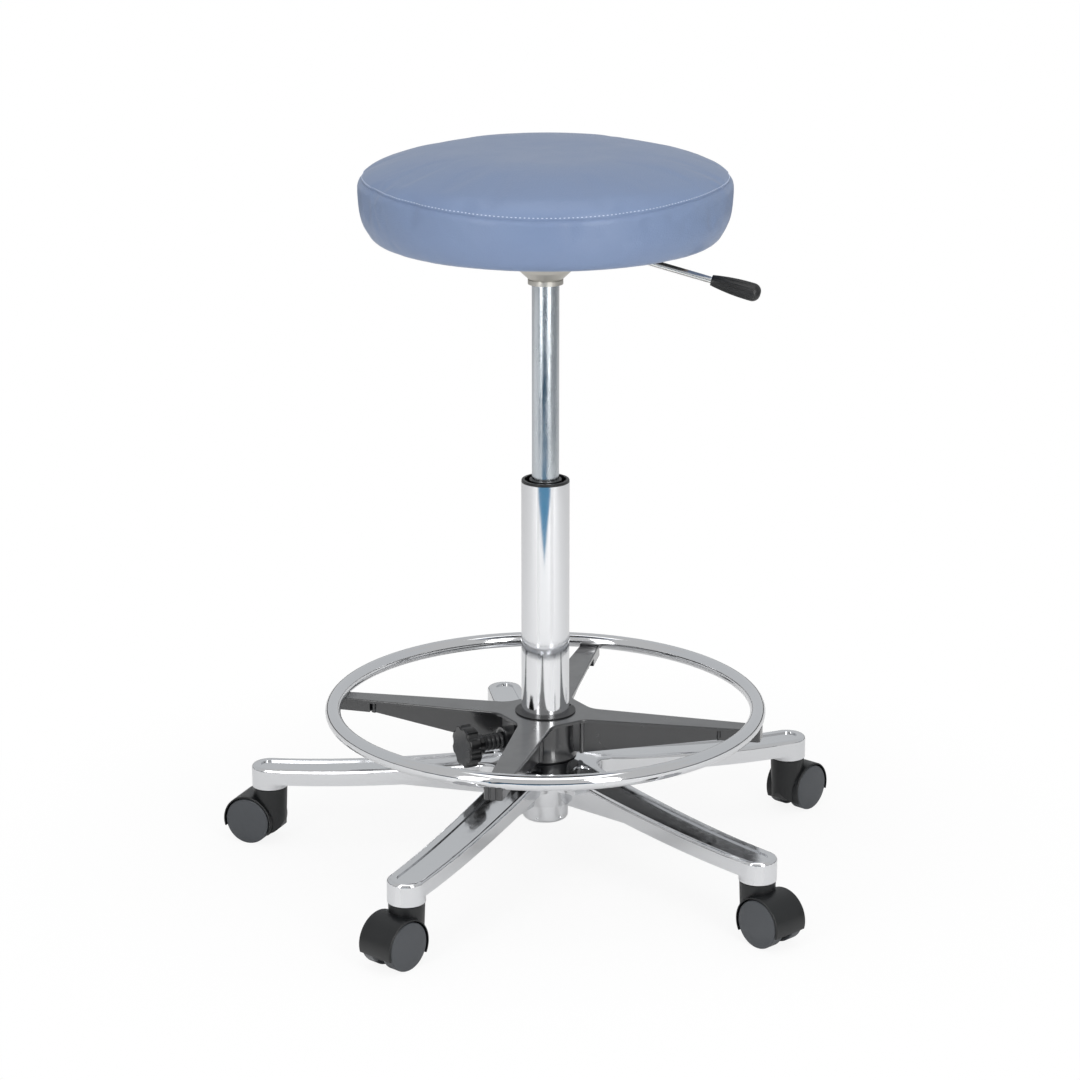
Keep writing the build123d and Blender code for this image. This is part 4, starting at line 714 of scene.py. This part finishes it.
    def lay(self, circle: list[bmesh.types.BMVert], row: tuple[float, float], hull: BVHTree,
            body: BVHTree) -> None:
        """Lays one circle of the skin on the foam.

        Args:
            circle: the circle's vertices, which are moved.
            row: the circle's angle and its share of the seam's rise.
            hull: the cover's outer surface.
            body: the swollen form.
        """
        angle, share = row
        turns = [math.atan2(vert.co.y, vert.co.x) for vert in circle]
        seams = [self.steepness(self.seam_height(turn)) for turn in turns]
        level = self.steepness(self.seam_front_height)
        rays = [self.ray(turn, angle + share * (seam - level)) for turn, seam in zip(turns, seams)]
        places = [self.surface(hull, ray) for ray in rays]
        swollen = [(self.surface(body, ray) - self.centre).length - (place - self.centre).length
                   for ray, place in zip(rays, places)]
        middle = sum(swollen) / len(swollen)
        for vert, turn, seam, ray, place, size in zip(circle, turns, seams, rays, places, swollen):
            across = (math.asin(ray.z) - seam) * (place - self.centre).length
            dip = self.groove_depth * math.exp(-(across / self.groove_width) ** 2)
            puff = self.puff * math.exp(-((abs(across) - self.puff_place) / self.puff_width) ** 2)
            dip += self.hollow_depth * math.exp(-((across - self.hollow_place) / self.hollow_width) ** 2)
            uneven = max(-self.unevenness, min(self.unevenness, (size - middle) * self.showing))
            vert.co = place + ray * (uneven + puff - dip + self.wrinkle(place, turn))
            vert.co.z = max(vert.co.z, self.low.z)

    def wrinkle(self, point: Vector, turn: float) -> float:
        """The pull marks of a cover stretched down over the board's edge.

        Args:
            point: a point on the cover.
            turn: its direction in radians from +X.

        Returns:
            How far the point lies proud, in metres.
        """
        down = max(0.0, (self.fold_top - point.z) / self.fold_run)
        east, north = math.cos(turn), math.sin(turn)
        pull = noise.noise(Vector((east * self.pull_count, north * self.pull_count, self.pull_level)))
        fold = noise.noise(Vector((east * self.fold_count, north * self.fold_count,
                                   point.z * self.fold_rise)))
        proud = self.pull * pull * down + self.fold * fold * down * down
        fade = math.exp(-((point.z - self.crease_height) / self.crease_run) ** 2)
        for crease in self.creases:
            away = math.remainder(turn - math.radians(crease.turn), math.tau) * self.high.x
            away += crease.lean * (point.z - self.crease_height)
            proud -= crease.depth * fade * math.exp(-(away / crease.width) ** 2)
        return proud

    def stitching(self, cover: bpy.types.Object) -> bpy.types.Object:
        """Makes the row of top stitches above the seam.

        Args:
            cover: the finished cover.

        Returns:
            The piece.
        """
        skin = BVHTree.FromObject(cover, bpy.context.evaluated_depsgraph_get())
        count = int(math.tau * self.high.x / self.stitch_pitch)
        shape = bmesh.new()
        for i in range(count):
            turn = math.tau * i / count
            ray = self.ray(turn, self.steepness(self.seam_height(turn) + self.stitch_rise))
            along = Vector((-math.sin(turn), math.cos(turn), 0))
            across = ray.cross(along).normalized()
            axes = Matrix((along, across, along.cross(across))).transposed().to_4x4()
            size = Matrix.Diagonal((self.stitch_length / 2, self.stitch_radius, self.stitch_radius, 1.0))
            place = Matrix.Translation(self.surface(skin, ray)) @ axes @ size
            bmesh.ops.create_uvsphere(shape, u_segments=self.stitch_turns, v_segments=self.stitch_rings,
                                      radius=1.0, matrix=place)
        return new_piece("seat_stitching", shape, Finishes.THREAD, "seat")

    def build(self) -> None:
        """Makes the cushion and its stitching, and hides the solids that they stand for."""
        hull = BVHTree.FromObject(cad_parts["seat_cover"], bpy.context.evaluated_depsgraph_get())
        blank = self.blank(hull)
        self.swell(blank)
        body = BVHTree.FromObject(blank, bpy.context.evaluated_depsgraph_get())
        bpy.data.objects.remove(blank)
        piece = self.cover(hull, body)
        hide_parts("seat_cover", "seat_foam")
        self.stitching(piece)
        dress(Finishes.BLUE_LEATHERETTE, "seat_cover")
        dress(Finishes.FOAM, "seat_foam")


# ---------------------------------------------------------------- the rest of the stool
@dataclass
class SeatFrame:
    """What carries the cushion: board, underlining, socket and the height lever."""

    def build(self) -> None:
        """Dresses the seat's carried-over nodes."""
        dress(Finishes.PLYWOOD, "seat_board")
        dress(Finishes.NONWOVEN, "seat_underlining")
        dress(Finishes.PLATED_STEEL, "seat_staples", "socket_screws", "tee_nuts")
        dress(Finishes.CAST_ALUMINIUM, "seat_socket")
        dress(Finishes.BRIGHT_STEEL, "lever_pivot")
        dress(Finishes.PLATED_LEVER, "lever_rod")
        dress(Finishes.BLACK_ACETAL, "lever_handle")


@dataclass
class GasSpring:
    """The lifting column: outer tube, guide bush, pressure tube, rod and thrust bearing."""

    def build(self) -> None:
        """Dresses the column's carried-over nodes."""
        dress(Finishes.CHROMED_TUBE, "column_tube")
        dress(Finishes.GROUND_STEEL, "pressure_tube", "piston_rod")
        dress(Finishes.BLACK_ACETAL, "column_guide_bush", "rod_guide", "piston", "ball_cage")
        dress(Finishes.PLATED_STEEL, "column_bottom_plate", "lower_bearing_washer", "upper_bearing_washer",
              "rod_clip")
        dress(Finishes.BRIGHT_STEEL, "thrust_balls", "valve_block", "release_pin")
        dress(Finishes.RUBBER, "bump_stop")


@dataclass
class Footrest:
    """The foot ring on its four-arm spider, with bush and clamp."""

    def build(self) -> None:
        """Dresses the foot ring's carried-over nodes."""
        dress(Finishes.BLACK_ACETAL, "ring_bush", "clamp_pad")
        dress(Finishes.STOVE_PAINT, "spider")
        dress(Finishes.CHROMED_RING, "foot_ring")
        dress(Finishes.PLATED_STEEL, "ring_screws")
        dress(Finishes.BLACK_OXIDE, "clamp_stud", "clamp_insert")
        dress(Finishes.GLOSS_KNOB, "clamp_knob")


@dataclass
class CastorBase:
    """The star base on its twin-wheel castors."""

    castors: int = 5

    def build(self) -> None:
        """Dresses the base's carried-over nodes."""
        dress(Finishes.POLISHED_CASTING, "base_star")
        dress(Finishes.PLATED_STEEL, "castor_stems", "stem_grip_rings")
        for number in range(1, self.castors + 1):
            name = f"castor_{number}"
            dress(Finishes.CASTOR_HOOD, f"{name}_housing")
            dress(Finishes.CASTOR_WHEEL, f"{name}_wheel_left", f"{name}_wheel_right")
            dress(Finishes.BRIGHT_STEEL, f"{name}_axle")


# ---------------------------------------------------------------- studio
class Lamp(Enum):
    """The soft boxes: azimuth from the front and elevation in degrees, distance, width, height, watts."""

    LEFT_STRIP = (-36.0, 14.0, 1.9, 0.35, 1.6, 9.0)
    RIGHT_STRIP = (29.0, 14.0, 1.9, 0.45, 1.6, 14.0)
    TOP_BOX = (0.0, 78.0, 2.2, 1.8, 1.8, 14.0)


class Card(Enum):
    """Cards that only reflections show.

    Each has its azimuth from the front, its half spread near and far in degrees, its near and far
    distance, its height there, and its colour.
    """

    BACK_SWEEP = (180.0, 100.0, 100.0, 3.0, 3.0, 0.45, 3.8, "#CDCFD1")
    HORIZON = (0.0, 180.0, 180.0, 3.1, 3.1, 0.0, 0.28, "#2B2E31")
    FAR_LEFT = (-86.0, 26.0, 26.0, 1.56, 3.0, 0.002, 0.004, "#F0F1F3")
    FAR_RIGHT = (72.0, 38.0, 38.0, 1.56, 3.0, 0.002, 0.004, "#9FA3A7")
    FAR_MIDDLE = (-13.0, 47.0, 47.0, 1.56, 3.0, 0.003, 0.005, "#86949E")
    FAR_CORE = (-3.0, 27.0, 27.0, 1.56, 3.0, 0.011, 0.012, "#234D66")
    DROP_TAIL = (-5.0, 2.0, 32.0, 1.10, 1.44, 0.011, 0.012, "#5B93B8")
    DROP_HEAD = (-5.0, 32.0, 20.0, 1.44, 1.53, 0.012, 0.013, "#5B93B8")
    LEFT_STREAK = (-34.0, 6.0, 6.0, 0.3, 2.9, 0.008, 0.010, "#FFFFFF")
    RIGHT_STREAK = (31.0, 8.0, 8.0, 0.3, 2.9, 0.008, 0.010, "#FFFFFF")


@dataclass
class Studio:
    """A plain pale floor, a white surround and soft boxes, seen by the camera from standing height."""

    camera_distance: float = 3.13985
    camera_height: float = 1.29723
    pitch_down: float = 0.2925
    turn_left: float = 0.00179
    focal_pixels: float = 3167.94
    frame_pixels: float = 1080.0
    sensor_mm: float = 36.0
    surround: float = 0.62           # of the white that the camera sees, as light on the stool
    target_height: float = 0.38
    floor_size: float = 12.0         # from the middle to an edge
    floor_colour: str = "#F4F4F4"
    fade_start: float = 0.25         # the floor turns white between these distances from the stool
    fade_end: float = 0.7
    fade_near: float = 0.88          # share of white close to the stool
    card_rows: int = 8
    card_columns: int = 60

    def build(self) -> None:
        """Makes the camera, the surround, the floor, the lamps and the cards."""
        self.camera()
        self.world()
        self.floor()
        for lamp in Lamp:
            self.lamp(lamp)
        for card in Card:
            self.card(card)
        bpy.context.scene.view_settings.view_transform = "Standard"

    def camera(self) -> None:
        """Places the camera at the height and pitch of someone standing before the stool."""
        data = bpy.data.cameras.new("camera")
        data.sensor_width = self.sensor_mm
        data.lens = self.sensor_mm * self.focal_pixels / self.frame_pixels
        camera = bpy.data.objects.new("camera", data)
        camera.location = (0, -self.camera_distance, self.camera_height)
        camera.rotation_euler = (math.pi / 2 - self.pitch_down, 0, self.turn_left)
        bpy.context.scene.collection.objects.link(camera)
        bpy.context.scene.camera = camera

    @staticmethod
    def seen_share(tree: bpy.types.NodeTree) -> bpy.types.NodeSocket:
        """Adds nodes that tell the camera's own rays from those that light the stool.

        Args:
            tree: the tree that gets the nodes.

        Returns:
            A socket that is 1 for the camera's rays and 0 for the others.
        """
        return add_node(tree, "ShaderNodeLightPath").outputs["Is Camera Ray"]

    def world(self) -> None:
        """White where the camera sees it, softer as light."""
        world = bpy.data.worlds.new("surround")
        world.use_nodes = True
        tree = world.node_tree
        tree.nodes.clear()
        strength = add_node(tree, "ShaderNodeMapRange", {"To Min": self.surround, "To Max": 1.0},
                            {"Value": self.seen_share(tree)})
        light = add_node(tree, "ShaderNodeBackground", {"Color": linear("#FFFFFF")},
                         {"Strength": strength.outputs["Result"]})
        add_node(tree, "ShaderNodeOutputWorld", {}, {"Surface": light.outputs["Background"]})
        bpy.context.scene.world = world

    def floor(self) -> None:
        """A pale floor that keeps the stool's shadow and fades to white away from it."""
        shape = bmesh.new()
        bmesh.ops.create_grid(shape, x_segments=1, y_segments=1, size=self.floor_size)
        mesh = bpy.data.meshes.new("floor")
        shape.to_mesh(mesh)
        shape.free()
        floor = bpy.data.objects.new("floor", mesh)
        material = bpy.data.materials.new("studio_floor")
        material.use_nodes = True
        tree = material.node_tree
        tree.nodes.clear()
        place = add_node(tree, "ShaderNodeTexCoord").outputs["Object"]
        far = add_node(tree, "ShaderNodeVectorMath", {"operation": "LENGTH"}, {0: place})
        fade = add_node(tree, "ShaderNodeMapRange",
                        {"interpolation_type": "SMOOTHSTEP", "From Min": self.fade_start,
                         "From Max": self.fade_end, "To Min": self.fade_near, "To Max": 1.0},
                        {"Value": far.outputs["Value"]})
        share = add_node(tree, "ShaderNodeMath", {"operation": "MULTIPLY"},
                         {0: fade.outputs["Result"], 1: self.seen_share(tree)})
        matt = add_node(tree, "ShaderNodeBsdfDiffuse", {"Color": linear(self.floor_colour)})
        white = add_node(tree, "ShaderNodeEmission", {"Color": linear("#FFFFFF"), "Strength": 1.0})
        both = add_node(tree, "ShaderNodeMixShader", {},
                        {0: share.outputs["Value"], 1: matt.outputs["BSDF"], 2: white.outputs["Emission"]})
        add_node(tree, "ShaderNodeOutputMaterial", {}, {"Surface": both.outputs["Shader"]})
        mesh.materials.append(material)
        bpy.context.scene.collection.objects.link(floor)

    def lamp(self, lamp: Lamp) -> None:
        """Adds one soft box, aimed at the middle of the stool.

        Args:
            lamp: the soft box.
        """
        azimuth, elevation, distance, width, height, watts = lamp.value
        data = bpy.data.lights.new(lamp.name.lower(), "AREA")
        data.shape = "RECTANGLE"
        data.size, data.size_y = width, height
        data.energy = watts
        box = bpy.data.objects.new(lamp.name.lower(), data)
        turn, rise = math.radians(azimuth - 90), math.radians(elevation)
        away = Vector((math.cos(turn) * math.cos(rise), math.sin(turn) * math.cos(rise), math.sin(rise)))
        box.location = Vector((0, 0, self.target_height)) + away * distance
        box.rotation_euler = away.to_track_quat("Z", "Y").to_euler()
        bpy.context.scene.collection.objects.link(box)

    def card(self, card: Card) -> None:
        """Adds one card that shows in polished metal and nowhere else.

        Args:
            card: the card.
        """
        azimuth, near_spread, far_spread, near, far, low, high, colour = card.value
        name = card.name.lower()
        shape = bmesh.new()
        bmesh.ops.create_grid(shape, x_segments=self.card_rows, y_segments=self.card_columns, size=0.5)
        for vert in shape.verts:
            out, side = vert.co.x + 0.5, 2 * vert.co.y
            spread = near_spread + (far_spread - near_spread) * out
            turn, reach = math.radians(azimuth - 90 + spread * side), near + (far - near) * out
            vert.co = (reach * math.cos(turn), reach * math.sin(turn), low + (high - low) * out)
        mesh = bpy.data.meshes.new(name)
        shape.to_mesh(mesh)
        shape.free()
        material = bpy.data.materials.new(name)
        material.use_nodes = True
        tree = material.node_tree
        tree.nodes.clear()
        glow = add_node(tree, "ShaderNodeEmission", {"Color": linear(colour), "Strength": 1.0})
        add_node(tree, "ShaderNodeOutputMaterial", {}, {"Surface": glow.outputs["Emission"]})
        mesh.materials.append(material)
        piece = bpy.data.objects.new(name, mesh)
        piece.visible_camera = piece.visible_diffuse = piece.visible_shadow = False
        piece.visible_transmission = piece.visible_volume_scatter = False
        bpy.context.scene.collection.objects.link(piece)


def main() -> None:
    """Builds each sub-assembly in turn."""
    logging.basicConfig(level=logging.INFO, format="%(name)s %(message)s")
    for part in (CastorBase(), GasSpring(), Footrest(), SeatFrame(), SeatCushion(), Studio()):
        LOG.info("building %s", type(part).__name__)
        part.build()


if __name__ == "__main__":
    main()
